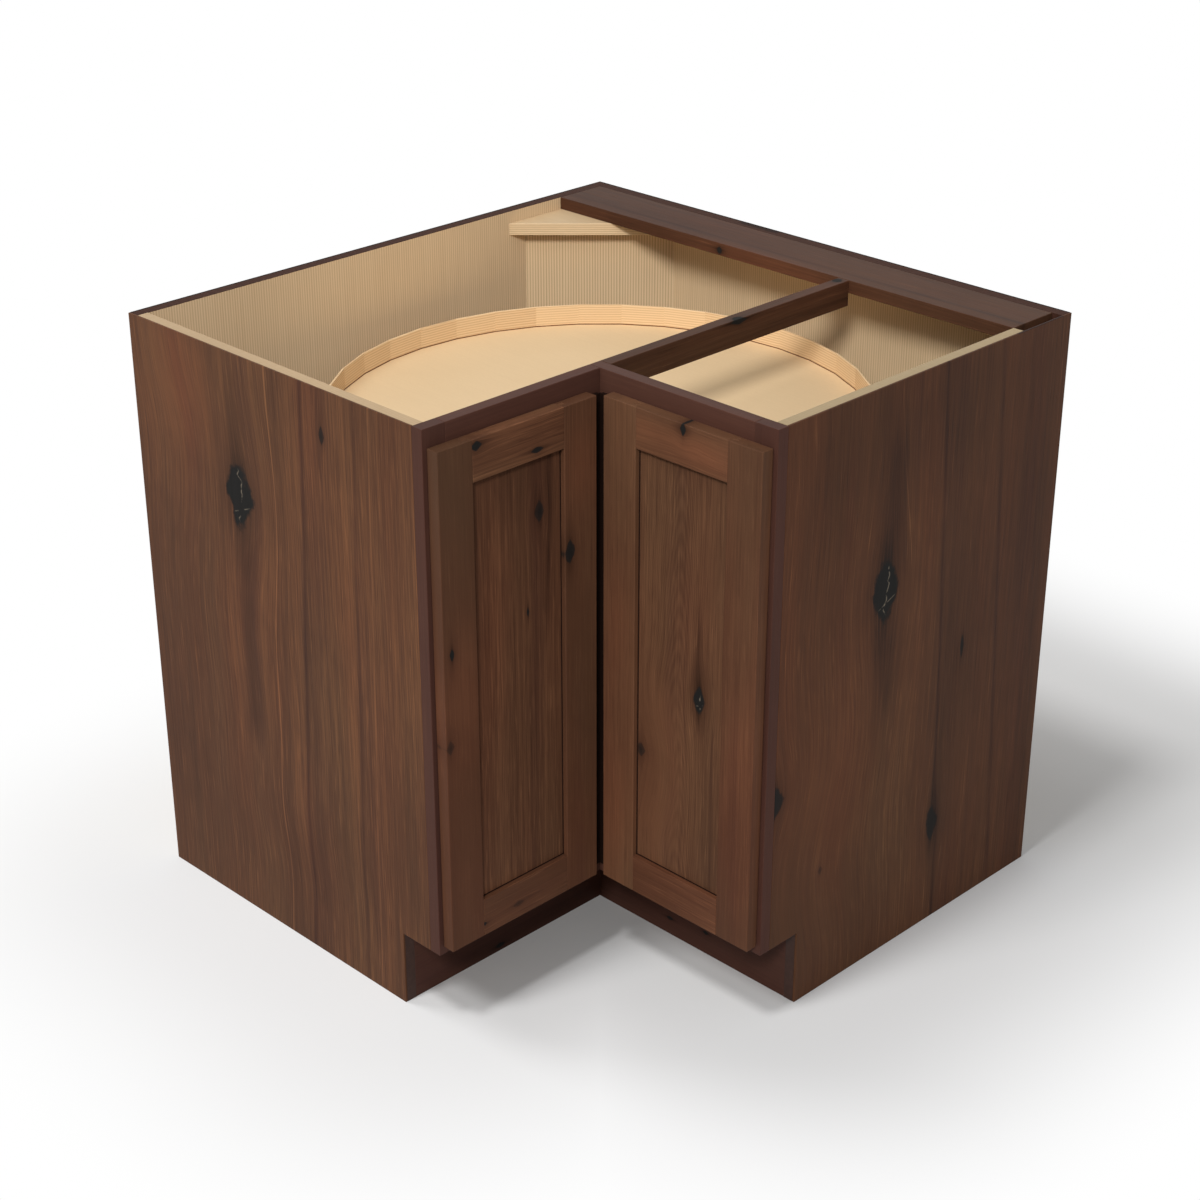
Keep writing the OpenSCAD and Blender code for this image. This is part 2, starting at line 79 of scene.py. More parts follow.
class Expr:
    """A shader value on which Python's operators add Math nodes."""

    def __init__(self, graph: "Graph", socket: bpy.types.NodeSocket) -> None:
        """Wraps a socket of a graph.

        Args:
            graph: The graph that gets the nodes.
            socket: The output socket that holds the value.
        """
        self.graph = graph
        self.socket = socket

    def math(self, operation: str, *values: Any, clamp: bool = False) -> "Expr":
        """Adds one Math node with this value first.

        Args:
            operation: The Math node's operation.
            values: The other inputs.
            clamp: Whether the result is held between 0 and 1.

        Returns:
            The result.
        """
        return self.graph.math(operation, self, *values, clamp=clamp)

    def __add__(self, other: Any) -> "Expr":
        """Adds a value."""
        return self.math("ADD", other)

    def __radd__(self, other: Any) -> "Expr":
        """Adds this to a value."""
        return self.graph.math("ADD", other, self)

    def __sub__(self, other: Any) -> "Expr":
        """Takes a value away."""
        return self.math("SUBTRACT", other)

    def __rsub__(self, other: Any) -> "Expr":
        """Takes this away from a value."""
        return self.graph.math("SUBTRACT", other, self)

    def __mul__(self, other: Any) -> "Expr":
        """Multiplies by a value."""
        return self.math("MULTIPLY", other)

    def __rmul__(self, other: Any) -> "Expr":
        """Multiplies a value by this."""
        return self.graph.math("MULTIPLY", other, self)

    def __truediv__(self, other: Any) -> "Expr":
        """Divides by a value."""
        return self.math("DIVIDE", other)

    def held(self) -> "Expr":
        """Holds the value between 0 and 1."""
        return self.math("MULTIPLY", 1.0, clamp=True)

    def bell(self) -> "Expr":
        """Falls softly from 1 where the value is 0, as exp(-v * v)."""
        return (self * self * -1.0).math("EXPONENT")

    def step(self, low: float, high: float) -> "Expr":
        """Rises smoothly from 0 at low to 1 at high, or falls where low is the larger.

        Args:
            low: The value that gives 0.
            high: The value that gives 1.

        Returns:
            The smooth step.
        """
        ramp = self.graph.node(
            "ShaderNodeMapRange",
            {"interpolation_type": "SMOOTHSTEP"},
            {"Value": self, "From Min": min(low, high), "From Max": max(low, high)},
        )
        rise = Expr(self.graph, ramp.outputs["Result"])
        return rise if low < high else 1 - rise


class Graph:
    """A node tree, with one method that adds any node."""

    def __init__(self, tree: bpy.types.NodeTree) -> None:
        """Empties a tree and takes it over.

        Args:
            tree: The node tree of a material, a world or a modifier.
        """
        self.tree = tree
        tree.nodes.clear()

    @classmethod
    def group(cls, name: str, given: Mapping[str, str], result: str) -> "Graph":
        """Starts a Geometry Nodes tree with named inputs.

        Args:
            name: The tree's name.
            given: The kind of each input by its name.
            result: The output's name.

        Returns:
            The empty tree's graph.
        """
        tree = bpy.data.node_groups.new(name, "GeometryNodeTree")
        for label, kind in given.items():
            tree.interface.new_socket(label, in_out="INPUT", socket_type="NodeSocket" + kind)
        tree.interface.new_socket(result, in_out="OUTPUT", socket_type="NodeSocketGeometry")
        return cls(tree)

    def finish_group(self, geometry: bpy.types.Node, finish: bpy.types.NodeSocket) -> None:
        """Makes the result real, gives it its material and hands it out.

        Args:
            geometry: The node whose first output is the result.
            finish: The socket that holds the material.
        """
        real = self.node("GeometryNodeRealizeInstances", inputs={0: geometry.outputs[0]})
        worn = self.node(
            "GeometryNodeSetMaterial",
            inputs={"Geometry": real.outputs[0], "Material": finish},
        )
        self.node("NodeGroupOutput", inputs={0: worn.outputs[0]})

    def node(
        self,
        kind: str,
        settings: Mapping[str, Any] | None = None,
        inputs: Mapping[str | int, Any] | None = None,
    ) -> bpy.types.Node:
        """Adds a node, sets it, then fills or links its sockets.

        Args:
            kind: The node's type.
            settings: Its properties; stops gives a colour ramp's positions and colours.
            inputs: Numbers, colours, sockets or expressions by socket name or index.

        Returns:
            The node.
        """
        made = self.tree.nodes.new(kind)
        for name, value in (settings or {}).items():
            if name == "stops":
                ramp = made.color_ramp
                while len(ramp.elements) < len(value):
                    ramp.elements.new(0.5)
                for element, (at, colour) in zip(ramp.elements, value):
                    element.position, element.color = at, colour
            else:
                setattr(made, name, value)
        for key, value in (inputs or {}).items():
            socket = made.inputs[key]
            if isinstance(value, Expr):
                self.tree.links.new(value.socket, socket)
            elif isinstance(value, bpy.types.NodeSocket):
                self.tree.links.new(value, socket)
            else:
                socket.default_value = value
        return made

    def math(self, operation: str, *values: Any, clamp: bool = False) -> Expr:
        """Adds a Math node.

        Args:
            operation: Its operation.
            values: Its inputs in order.
            clamp: Whether the result is held between 0 and 1.

        Returns:
            The result.
        """
        made = self.node(
            "ShaderNodeMath",
            {"operation": operation, "use_clamp": clamp},
            dict(enumerate(values)),
        )
        return Expr(self, made.outputs[0])

    def place(self) -> list[Expr]:
        """The three Object coordinates, in metres."""
        coords = self.node("ShaderNodeTexCoord").outputs["Object"]
        split = self.node("ShaderNodeSeparateXYZ", inputs={0: coords})
        return [Expr(self, out) for out in split.outputs]

    def looked_at(self) -> Expr:
        """1 for what the camera sees, also in a mirror or through glass, and 0 for light."""
        path = self.node("ShaderNodeLightPath").outputs
        seen = Expr(self, path["Is Camera Ray"]).math("MAXIMUM", path["Is Glossy Ray"])
        return seen.math("MAXIMUM", path["Is Transmission Ray"])

    def noise(self, vector: Sequence[Any], detail: float = 2.0, rough: float = 0.5) -> Expr:
        """Reads noise of unit scale at a stretched place.

        Args:
            vector: The three coordinates, already multiplied by their frequencies.
            detail: Number of finer layers.
            rough: Strength of the finer layers.

        Returns:
            The noise, about 0.5 on average.
        """
        joined = self.node("ShaderNodeCombineXYZ", inputs=dict(enumerate(vector)))
        made = self.node(
            "ShaderNodeTexNoise",
            inputs={
                "Vector": joined.outputs[0],
                "Scale": 1.0,
                "Detail": detail,
                "Roughness": rough,
            },
        )
        return Expr(self, made.outputs[0])

    def blend(self, factor: Any, first: Any, second: Any, mode: str = "MIX") -> Any:
        """Mixes two colours.

        Args:
            factor: The share of the second.
            first: The first colour.
            second: The second colour.
            mode: The blend type.

        Returns:
            The colour's socket.
        """
        made = self.node(
            "ShaderNodeMix",
            {"data_type": "RGBA", "blend_type": mode},
            {0: factor, 6: first, 7: second},
        )
        return made.outputs[2]

    def bump(self, height: Expr, strength: float, distance: float) -> Any:
        """Turns a height into a bumped normal.

        Args:
            height: The height field.
            strength: Share of the bump.
            distance: Size of the bump in metres.

        Returns:
            The normal's socket.
        """
        made = self.node(
            "ShaderNodeBump",
            inputs={"Height": height, "Strength": strength, "Distance": distance},
        )
        return made.outputs[0]


# ---- Finishes ----


@dataclass(frozen=True)
class Knot:
    """A knot on a board's face, at its place across and along the grain."""

    across: float
    along: float
    wide: float
    tall: float
    crack: bool = False
    depth: float = 1.0
    deep: float | None = None


@dataclass(frozen=True)
class Streak:
    """A dark or pale streak that follows the grain, and leans where asked."""

    across: float
    wide: float
    change: float
    lean: float = 0.0
    purple: float = 0.0
    low: float = -9.0
    high: float = 9.0
    fade: float = 0.04


@dataclass(frozen=True)
class Patch:
    """A soft area of another tone or hue, where the grain may lean."""

    across: float
    along: float
    wide: float
    tall: float
    change: float = 0.0
    red: float = 0.0
    lean: float = 0.0
    calm: float = 0.0


@dataclass(frozen=True)
class Zone:
    """A box of the cabinet's frame in which a board is stained, or darkened as painted shade."""

    low: tuple[float, float, float] = (-9.0, -9.0, -9.0)
    high: tuple[float, float, float] = (9.0, 9.0, 9.0)
    tint: Colour = srgb(78, 51, 41)
    soft: float = 0.0002

    def mask(self, place: Sequence[Expr]) -> Expr:
        """Where the zone lies.

        Args:
            place: The three coordinates.

        Returns:
            1 inside the zone, 0 outside it.
        """
        sides = [
            at.step(bound - self.soft * way, bound + self.soft * way)
            for bounds, way in ((self.low, 1), (self.high, -1))
            for at, bound in zip(place, bounds)
            if abs(bound) < BEYOND
        ]
        inside = sides[0]
        for side in sides[1:]:
            inside = inside * side
        return inside


@dataclass(frozen=True)
class Finish:
    """A material that a piece wears."""

    name: str

    def shade(self, graph: Graph) -> dict[str, Any]:
        """The Principled shader's inputs; each finish gives its own.

        Args:
            graph: The material's graph.

        Returns:
            The inputs by socket name.
        """
        return {}

    def material(self) -> bpy.types.Material:
        """The material, made the first time that it is asked for."""
        found = bpy.data.materials.get(self.name)
        if found:
            return found
        made = bpy.data.materials.new(self.name)
        made.use_nodes = True
        graph = Graph(made.node_tree)
        shader = graph.node("ShaderNodeBsdfPrincipled", inputs=self.shade(graph))
        graph.node("ShaderNodeOutputMaterial", inputs={"Surface": shader.outputs[0]})
        return made


@dataclass(frozen=True)
class Layer:
    """One layer of the wood's noise, finer across the grain than along it."""

    across: float
    along: float
    moved: tuple[int, int] = (1, 0)
    detail: float = 2.0
    rough: float = 0.5


CLOUD = Layer(8, 2.4, (1, 1))
BAND = Layer(24, 0.7)
NARROW = Layer(95, 1.3, (-1, 0))
FINE = Layer(290, 3.4, rough=0.55)
HAIR = Layer(820, 11, (0, 1))
PORE = Layer(560, 15, detail=1.0)
FLECK = Layer(520, 16, (-1, -1), 1.0)


@dataclass(frozen=True)
class StainedWood(Finish):
    """Dark stained knotty wood under a satin coat."""

    along: Axis = Axis.Z
    across: Axis = Axis.X
    tone: float = 0.0
    red: float = 0.0
    lines: float = 1.0
    drift: float = 1.0
    shift: float = 0.0
    cathedral: tuple[float, float] | None = None
    knots: tuple[Knot, ...] = ()
    streaks: tuple[Streak, ...] = ()
    patches: tuple[Patch, ...] = ()
    zones: tuple[Zone, ...] = ()
    flecks: float = 1.0
    dark: Colour = srgb(38, 25, 19)
    middle: Colour = srgb(89, 61, 46)
    light: Colour = srgb(141, 101, 75)
    cool: Colour = srgb(238, 248, 240)
    warm: Colour = srgb(255, 235, 225)
    violet: Colour = srgb(220, 214, 236)
    knot: Colour = srgb(31, 30, 29)
    crack: Colour = srgb(122, 112, 98)

    def bend(self, graph: Graph, a: Expr, g: Expr, n: Expr) -> Expr:
        """The coordinate across the grain, bent by drift, leaning areas and knots.

        Args:
            graph: The material's graph.
            a: Place across the grain.
            g: Place along the grain.
            n: Place through the board.

        Returns:
            The bent coordinate.
        """
        s = self.shift
        lines = a + (graph.noise((a * 2.4 + s, g * 0.8 + s, n * 2.4), 1.0) - 0.5) * 0.012
        lines = lines + (graph.noise((a * 9 - s, g * 4.0, n * 9), 1.0) - 0.5) * 0.0016
        for patch in self.patches:
            if patch.lean:
                lines = lines + (g - patch.along) * self.area(a, g, patch) * (patch.lean * 0.5)
        for k in self.knots:
            ox, oz = (a - k.across) / k.wide, (g - k.along) / k.tall
            bulge = (ox * ox * -0.25 - oz * oz * 0.16).math("EXPONENT")
            lines = lines - (a - k.across) * bulge * 0.6
        return lines

    @staticmethod
    def area(a: Expr, g: Expr, patch: Patch) -> Expr:
        """A soft round mask of a patch.

        Args:
            a: Place across the grain.
            g: Place along the grain.
            patch: The patch.

        Returns:
            1 in its middle, falling to 0.
        """
        across, along = (a - patch.across) / patch.wide, (g - patch.along) / patch.tall
        return across.bell() * along.bell()

    def knot_masks(
        self, graph: Graph, a: Expr, g: Expr, n: Expr
    ) -> tuple[Expr | None, Expr | None, Expr | None]:
        """The dark cores, the stained halos and the pale cracks of the knots.

        Args:
            graph: The material's graph.
            a: Place across the grain.
            g: Place along the grain.
            n: Place through the board.

        Returns:
            The three masks, or None where there is nothing.
        """
        core = halo = crack = None
        s = self.shift
        if self.knots:
            frayed = graph.noise((a * 75 + s, g * 50, n * 75), 3.0, 0.6) - 0.5
            lumpy = graph.noise((a * 26 + s, g * 20, n * 26 + s), 1.0) - 0.5
        for k in self.knots:
            da, dg = a - k.across, g - k.along
            ox = (da / k.wide).math("ABSOLUTE").math("POWER", 1.35)
            oz = (dg / k.tall).math("ABSOLUTE").math("POWER", 1.35)
            total = ox + oz
            if k.deep is not None:
                away = (n - k.deep) / max(k.wide, k.tall)
                total = total + away * away
            reach = total.math("POWER", 0.74) + frayed * 0.7 + lumpy * 0.7
            inside = reach.step(1.06, 0.80) * k.depth
            stained = (reach * -1.25).math("EXPONENT") * k.depth
            plume = ((da / k.wide) * (da / k.wide) * -2.6 - oz * 0.42).math("EXPONENT")
            if k.deep is not None:
                plume = plume * away.bell()
            stained = stained + plume * (0.55 * k.depth)
            core = inside if core is None else core.math("MAXIMUM", inside)
            halo = stained if halo is None else halo.math("MAXIMUM", stained)
            if k.crack:
                bent = graph.noise((3.0 + s, g * 40, 0.5)) - 0.5
                line = (da - bent * k.wide * 1.3 - 0.12 * k.wide).math("ABSOLUTE")
                side = (dg - da * 0.4 + 0.42 * k.tall).math("ABSOLUTE")
                split = line.step(0.0017, 0.0005) + side.step(0.0013, 0.0004) * 0.8
                broken = graph.noise((a * 110, g * 110, s)).step(0.42, 0.58)
                split = split * reach.step(0.86, 0.62) * broken
                crack = split if crack is None else crack.math("MAXIMUM", split)
        return core, halo, crack

    def read(self, graph: Graph, layer: Layer, lines: Expr, g: Expr, n: Expr) -> Expr:
        """Reads one layer of noise along the bent grain.

        Args:
            graph: The material's graph.
            layer: The layer.
            lines: The bent place across the grain.
            g: Place along the grain.
            n: Place through the board.

        Returns:
            The noise, about 0.5 on average.
        """
        side, rise = (self.shift * way for way in layer.moved)
        place = (lines * layer.across + side, g * layer.along + rise, n * layer.across)
        return graph.noise(place, layer.detail, layer.rough)

    def grain(self, graph: Graph, lines: Expr, g: Expr, n: Expr) -> tuple[Expr, Expr, Expr]:
        """The lines, pores and flecks of the wood.

        Args:
            graph: The material's graph.
            lines: The bent place across the grain.
            g: Place along the grain.
            n: Place through the board.

        Returns:
            What they add to the tone, their height and their roughness.
        """
        band, narrow, fine, hair = (
            self.read(graph, layer, lines, g, n) - 0.5 for layer in (BAND, NARROW, FINE, HAIR)
        )
        pore = self.read(graph, PORE, lines, g, n).step(0.60, 0.72)
        fleck = self.read(graph, FLECK, lines, g, n).step(0.60, 0.74)
        tone = band * 0.19 + narrow * 0.17 + fine * 0.34 + hair * 0.42
        if self.cathedral:
            da, dg = lines - self.cathedral[0], g - self.cathedral[1]
            bow = (da * da + 0.0004).math("SQRT") * 3.4 + dg * 0.30
            tone = tone + (bow * 620).math("SINE") * (da * da * -260).math("EXPONENT") * 0.05
        tone = tone * self.lines + (fleck * 0.13 - pore * 0.09) * self.flecks
        return tone, fine * 0.45 + hair * 0.35 - pore * 0.5, fine * 0.12 + 0.48

    def tones(
        self, graph: Graph, lines: Expr, a: Expr, g: Expr, n: Expr
    ) -> tuple[Expr, Expr, Expr]:
        """The slow changes of tone and hue, with the patches and streaks.

        Args:
            graph: The material's graph.
            lines: The bent place across the grain.
            a: Place across the grain.
            g: Place along the grain.
            n: Place through the board.

        Returns:
            The tone, the hue from cool to warm, and the share of violet.
        """
        s = self.shift
        cloud = self.read(graph, CLOUD, lines, g, n) - 0.5
        curl = graph.noise((a * 34 + g * 26 + s, g * 17 - a * 13, n * 20)) - 0.5
        tone = cloud * (0.40 * self.drift) + curl * 0.06 + (0.50 + self.tone)
        hue = graph.noise((lines * 11 - s, g * 1.5 + 7, n * 11)) - 0.5
        hue = hue * (1.7 * self.drift) + (0.5 + self.red)
        violet = graph.noise((lines * 17 + 3, g * 0.9 - s, n * 17)).step(0.53, 0.75) * 0.4
        for patch in self.patches:
            area = self.area(a, g, patch)
            tone = tone + area * patch.change
            hue = hue + area * patch.red
        for streak in self.streaks:
            off = (lines - streak.across - (g - 0.5) * streak.lean) / streak.wide
            mark = off.bell() * (graph.noise((a * 30, g * 9, s)) * 1.4 + 0.3)
            if streak.low > -BEYOND:
                mark = mark * g.step(streak.low - streak.fade, streak.low + streak.fade)
            if streak.high < BEYOND:
                mark = mark * g.step(streak.high + streak.fade, streak.high - streak.fade)
            tone = tone + mark * streak.change
            if streak.purple:
                violet = violet + mark * streak.purple
        return tone, hue, violet

    def shade(self, graph: Graph) -> dict[str, Any]:
        """The grain, streaks, pores and knots of the wood.

        Args:
            graph: The material's graph.

        Returns:
            The inputs by socket name.
        """
        place = graph.place()
        a, g = place[self.across.value], place[self.along.value]
        n = place[3 - self.across.value - self.along.value]
        lines = self.bend(graph, a, g, n)
        core, halo, crack = self.knot_masks(graph, a, g, n)
        grain, height, rough = self.grain(graph, lines, g, n)
        for patch in self.patches:
            if patch.calm:
                grain = grain * (1.0 - self.area(a, g, patch) * patch.calm)
        tone, hue, violet = self.tones(graph, lines, a, g, n)
        tone = tone + grain
        if halo is not None:
            tone = tone - halo * 0.50
        ramp = graph.node(
            "ShaderNodeValToRGB",
            {"stops": [(0.0, self.dark), (0.5, self.middle), (1.0, self.light)]},
            {"Fac": tone},
        )
        tint = graph.blend(hue.held(), self.cool, self.warm)
        colour = graph.blend(1.0, ramp.outputs[0], tint, "MULTIPLY")
        purple = graph.blend(1.0, colour, self.violet, "MULTIPLY")
        colour = graph.blend(violet.held(), colour, purple)
        if core is not None:
            colour = graph.blend(core, colour, self.knot)
            height = height - core * 0.7
            rough = rough + core * 0.16
        if crack is not None:
            colour = graph.blend(crack * 0.75, colour, self.crack)
            height = height - crack * 1.2
        # Zones: real stains, and painted shade on the door panels' edges and the doors' lips
        for zone in self.zones:
            colour = graph.blend(zone.mask(place), colour, zone.tint)
        return {
            "Base Color": colour,
            "Roughness": rough,
            "Normal": graph.bump(height, 0.30, 0.0005),
            "Specular IOR Level": 0.06,
        }


@dataclass(frozen=True)
class PaleBoard(Finish):
    """Pale maple-faced board with fine straight lines, stained in its zones."""

    along: Axis = Axis.Z
    across: Axis = Axis.Y
    diagonal: bool = False
    pitch: float = 0.0043
    line: float = 0.24
    base: Colour = srgb(226, 199, 160)
    low: Colour = srgb(178, 147, 109)
    gloss: float = 0.2
    zones: tuple[Zone, ...] = ()

    def shade(self, graph: Graph) -> dict[str, Any]:
        """The lines and mottle of the board.

        Args:
            graph: The material's graph.

        Returns:
            The inputs by socket name.
        """
        place = graph.place()
        a, g = place[self.across.value], place[self.along.value]
        n = place[3 - self.across.value - self.along.value]
        if self.diagonal:
            a, n = (place[0] + place[1]) * math.sqrt(0.5), (place[1] - place[0]) * 0.7
        waver = graph.noise((a * 40, g * 1.5, n * 2), 2.0) - 0.5
        wave = (a * (2 * math.pi / self.pitch) + waver * 5).math("SINE")
        fine = graph.noise((a * 420, g * 7, n * 60), 3.0, 0.6) - 0.5
        cloud = graph.noise((a * 6, g * 2.5, n * 6), 2.0) - 0.5
        share = wave * self.line + fine * 0.40 + cloud * 0.24 + 0.26
        colour = graph.blend(share.held(), self.base, self.low)
        for zone in self.zones:
            spot = graph.noise((place[0] * 130, place[1] * 130, place[2] * 130), 3.0)
            deeper = tuple(0.45 * v for v in zone.tint[:3]) + (1.0,)
            stain = graph.blend(spot, zone.tint, deeper)
            colour = graph.blend(zone.mask(place), colour, stain)
        return {
            "Base Color": colour,
            "Roughness": fine * 0.1 + 0.5,
            "Normal": graph.bump(wave * 0.3 + fine, 0.25, 0.0003),
            "Specular IOR Level": self.gloss,
        }


@dataclass(frozen=True)
class TrayFace(Finish):
    """Smooth pale tray floor with a faint mottle."""

    base: Colour = srgb(234, 205, 163)
    low: Colour = srgb(202, 168, 124)

    def shade(self, graph: Graph) -> dict[str, Any]:
        """The mottle and faint grain of the tray floor.

        Args:
            graph: The material's graph.

        Returns:
            The inputs by socket name.
        """
        x, y, z = graph.place()
        cloud = graph.noise((x * 7, y * 7, z * 7), 3.0) - 0.5
        grain = graph.noise((x * 16, y * 260, z * 16), 3.0, 0.6) - 0.5
        speck = graph.noise((x * 260, y * 260, z * 260), 2.0) - 0.5
        share = cloud * 0.22 + grain * 0.20 + speck * 0.16 + 0.1
        colour = graph.blend(share.held(), self.base, self.low)
        return {
            "Base Color": colour,
            "Roughness": speck * 0.1 + 0.5,
            "Normal": graph.bump(speck + grain, 0.15, 0.0002),
            "Specular IOR Level": 0.2,
        }


@dataclass(frozen=True)
class RimWood(Finish):
    """Bent rim strip with level grain lines and a change of tone from facet to facet."""

    base: Colour = srgb(236, 204, 160)
    low: Colour = srgb(196, 156, 112)
    seam: Colour = srgb(120, 76, 44)
    lines: float = 0.0038
    facets: int = 36
    floors: tuple[float, float] = (0.727, 0.2698)

    def shade(self, graph: Graph) -> dict[str, Any]:
        """The level lines and facet tones of the rim.

        Args:
            graph: The material's graph.

        Returns:
            The inputs by socket name.
        """
        x, y, z = graph.place()
        turn = graph.math("ARCTAN2", y, x) * (self.facets / (2 * math.pi))
        cell = turn.math("FLOOR")
        facet = graph.noise((cell * 3.7, 0.3, 0.5), 0.0) - 0.5
        waver = graph.noise((turn * 0.9, z * 60, cell), 2.0) - 0.5
        wave = (z * (2 * math.pi / self.lines) + waver * 2.2 + cell * 1.3).math("SINE")
        fine = graph.noise((turn * 3, z * 900, 0.2), 3.0, 0.6) - 0.5
        share = wave * 0.30 + fine * 0.26 + facet * 0.30 + 0.26
        colour = graph.blend(share.held(), self.base, self.low)
        for floor in self.floors:
            line = (z - floor - 0.0004).math("ABSOLUTE").step(0.0013, 0.0006)
            colour = graph.blend(line, colour, self.seam)
        return {
            "Base Color": colour,
            "Roughness": fine * 0.1 + 0.5,
            "Normal": graph.bump(wave * 0.4 + fine, 0.25, 0.0003),
            "Specular IOR Level": 0.2,
        }


@dataclass(frozen=True)
class PlatedSteel(Finish):
    """Zinc-plated steel with a faint mottle and brushing."""

    tint: Colour = srgb(196, 198, 200)
    dull: Colour = srgb(150, 151, 150)
    rough: float = 0.32

    def shade(self, graph: Graph) -> dict[str, Any]:
        """The brushing and mottle of the plating.

        Args:
            graph: The material's graph.

        Returns:
            The inputs by socket name.
        """
        x, y, z = graph.place()
        brush = graph.noise((x * 1400, y * 1400, z * 30), 2.0) - 0.5
        mottle = graph.noise((x * 90, y * 90, z * 90), 3.0) - 0.5
        share = (mottle * 0.7 + brush * 0.3 + 0.35).held()
        return {
            "Base Color": graph.blend(share, self.tint, self.dull),
            "Metallic": 1.0,
            "Roughness": brush * 0.12 + mottle * 0.15 + self.rough,
            "Normal": graph.bump(brush + mottle, 0.12, 0.0002),
        }


@dataclass(frozen=True)
class Moulded(Finish):
    """Moulded plastic or soft rubber with a fine moulding grain."""

    tint: Colour = srgb(224, 221, 208)
    rough: float = 0.45

    def shade(self, graph: Graph) -> dict[str, Any]:
        """The moulding grain.

        Args:
            graph: The material's graph.

        Returns:
            The inputs by socket name.
        """
        x, y, z = graph.place()
        grain = graph.noise((x * 2200, y * 2200, z * 2200), 2.0) - 0.5
        cloud = graph.noise((x * 60, y * 60, z * 60), 2.0) - 0.5
        shadow = tuple(0.8 * v for v in self.tint[:3]) + (1.0,)
        share = (cloud * 0.8 + 0.25).held()
        return {
            "Base Color": graph.blend(share, self.tint, shadow),
            "Roughness": grain * 0.12 + self.rough,
            "Normal": graph.bump(grain, 0.15, 0.0002),
        }


STEEL = PlatedSteel("plated_steel")
NYLON = Moulded("nylon")
RUBBER = Moulded("soft_rubber", srgb(92, 92, 90), 0.7)
TRAY = TrayFace("tray_face")
RIM = RimWood("rim_wood")

# Painted shade: the dark line along a door panel's edges where it meets its stiles and rails, and
# the near-black on the doors' lips in the gap between the doors
PANEL_EDGE_SHADE = srgb(36, 22, 17)
LIP_SHADE = srgb(30, 19, 15)


# ---- Making pieces ----


class Workshop:
    """Makes finished pieces from the frame's nodes."""

    @staticmethod
    def object_from(name: str, mesh: bpy.types.Mesh, finish: Finish) -> bpy.types.Object:
        """Puts a mesh into the scene.

        Args:
            name: The object's name.
            mesh: Its mesh, in place.
            finish: What it wears.

        Returns:
            The object.
        """
        made = bpy.data.objects.new(name, mesh)
        bpy.context.scene.collection.objects.link(made)
        mesh.materials.clear()
        mesh.materials.append(finish.material())
        return made

    @staticmethod
    def wear(node: str, finish: Finish) -> None:
        """Gives a node of the frame its finish.

        Args:
            node: The node's name.
            finish: What it wears.
        """
        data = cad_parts[node].data
        data.materials.clear()
        data.materials.append(finish.material())
        LOG.info("%s wears %s", node, finish.name)

    @staticmethod
    def stand_for(node: str, piece: bpy.types.Object, body: str, slot: str) -> None:
        """Lets a finished piece take a node's place.

        Args:
            node: The frame's node.
            piece: The finished piece.
            body: The body that it rides on.
            slot: The record's material slot; not used.
        """
        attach(piece, body)
        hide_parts(node)
        LOG.info("%s stands for %s", piece.name, node)

    @classmethod
    def ease(
        cls,
        node: str,
        body: str,
        slot: str,
        finish: Finish,
        width: float = 0.0008,
        steps: int = 2,
        sharp: float = -9.0,
    ) -> None:
        """Replaces a node by a copy whose outer corners are eased.

        Args:
            node: The node's name.
            body: The body that it rides on.
            slot: The record's material slot.
            finish: What it wears.
            width: How far the corners are taken back, in metres.
            steps: Number of faces round a corner.
            sharp: Nearer to the inner corner than this, the corners stay sharp.
        """
        bm = bmesh.new()
        bm.from_mesh(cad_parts[node].data)
        bmesh.ops.remove_doubles(bm, verts=bm.verts, dist=1e-5)
        bmesh.ops.dissolve_limit(
            bm, angle_limit=math.radians(0.4), verts=bm.verts, edges=bm.edges
        )
        corners = [
            e
            for e in bm.edges
            if len(e.link_faces) == 2
            and e.is_convex
            and e.calc_face_angle(0.0) > math.radians(40)
            and not all(v.co.x < sharp and v.co.y > -sharp for v in e.verts)
        ]
        bmesh.ops.bevel(
            bm,
            geom=corners,
            offset=width,
            segments=steps,
            profile=0.5,
            affect="EDGES",
            clamp_overlap=True,
        )
        mesh = bpy.data.meshes.new(node + "_eased")
        bm.to_mesh(mesh)
        bm.free()
        piece = cls.object_from(node + "_eased", mesh, finish)
        cls.stand_for(node, piece, body, slot)

    @classmethod
    def plain(cls, source: bpy.types.Object, name: str, finish: Finish) -> bpy.types.Object:
        """Turns an object with a modifier into a plain mesh object and removes the first.

        Args:
            source: The object with its modifier.
            name: The new object's name.
            finish: What it wears.

        Returns:
            The plain object.
        """
        bpy.context.view_layer.update()
        deps = bpy.context.evaluated_depsgraph_get()
        mesh = bpy.data.meshes.new_from_object(source.evaluated_get(deps))
        source.modifiers.clear()
        bpy.data.objects.remove(source)
        return cls.object_from(name, mesh, finish)

    @classmethod
    def grow(
        cls,
        name: str,
        mesh: bpy.types.Mesh,
        tree: bpy.types.NodeTree,
        values: Mapping[str, Any],
        finish: Finish,
    ) -> bpy.types.Object:
        """Runs a Geometry Nodes tree on a mesh and keeps the result as a plain object.

        Args:
            name: The new object's name.
            mesh: What the tree starts from.
            tree: The Geometry Nodes tree.
            values: Its inputs by name, apart from the finish.
            finish: What the result wears.

        Returns:
            The plain object.
        """
        carrier = bpy.data.objects.new(mesh.name, mesh)
        bpy.context.scene.collection.objects.link(carrier)
        modifier = carrier.modifiers.new(tree.name, "NODES")
        modifier.node_group = tree
        given = {**values, "Finish": finish.material()}
        for item in tree.interface.items_tree:
            if item.item_type == "SOCKET" and item.name in given:
                modifier[item.identifier] = given[item.name]
        return cls.plain(carrier, name, finish)


@dataclass(frozen=True)
class Screw:
    """Size of a screw's head in metres."""

    radius: float
    height: float


# Height of the head of unit radius that every screw is scaled from
HEAD_HIGH = 0.5


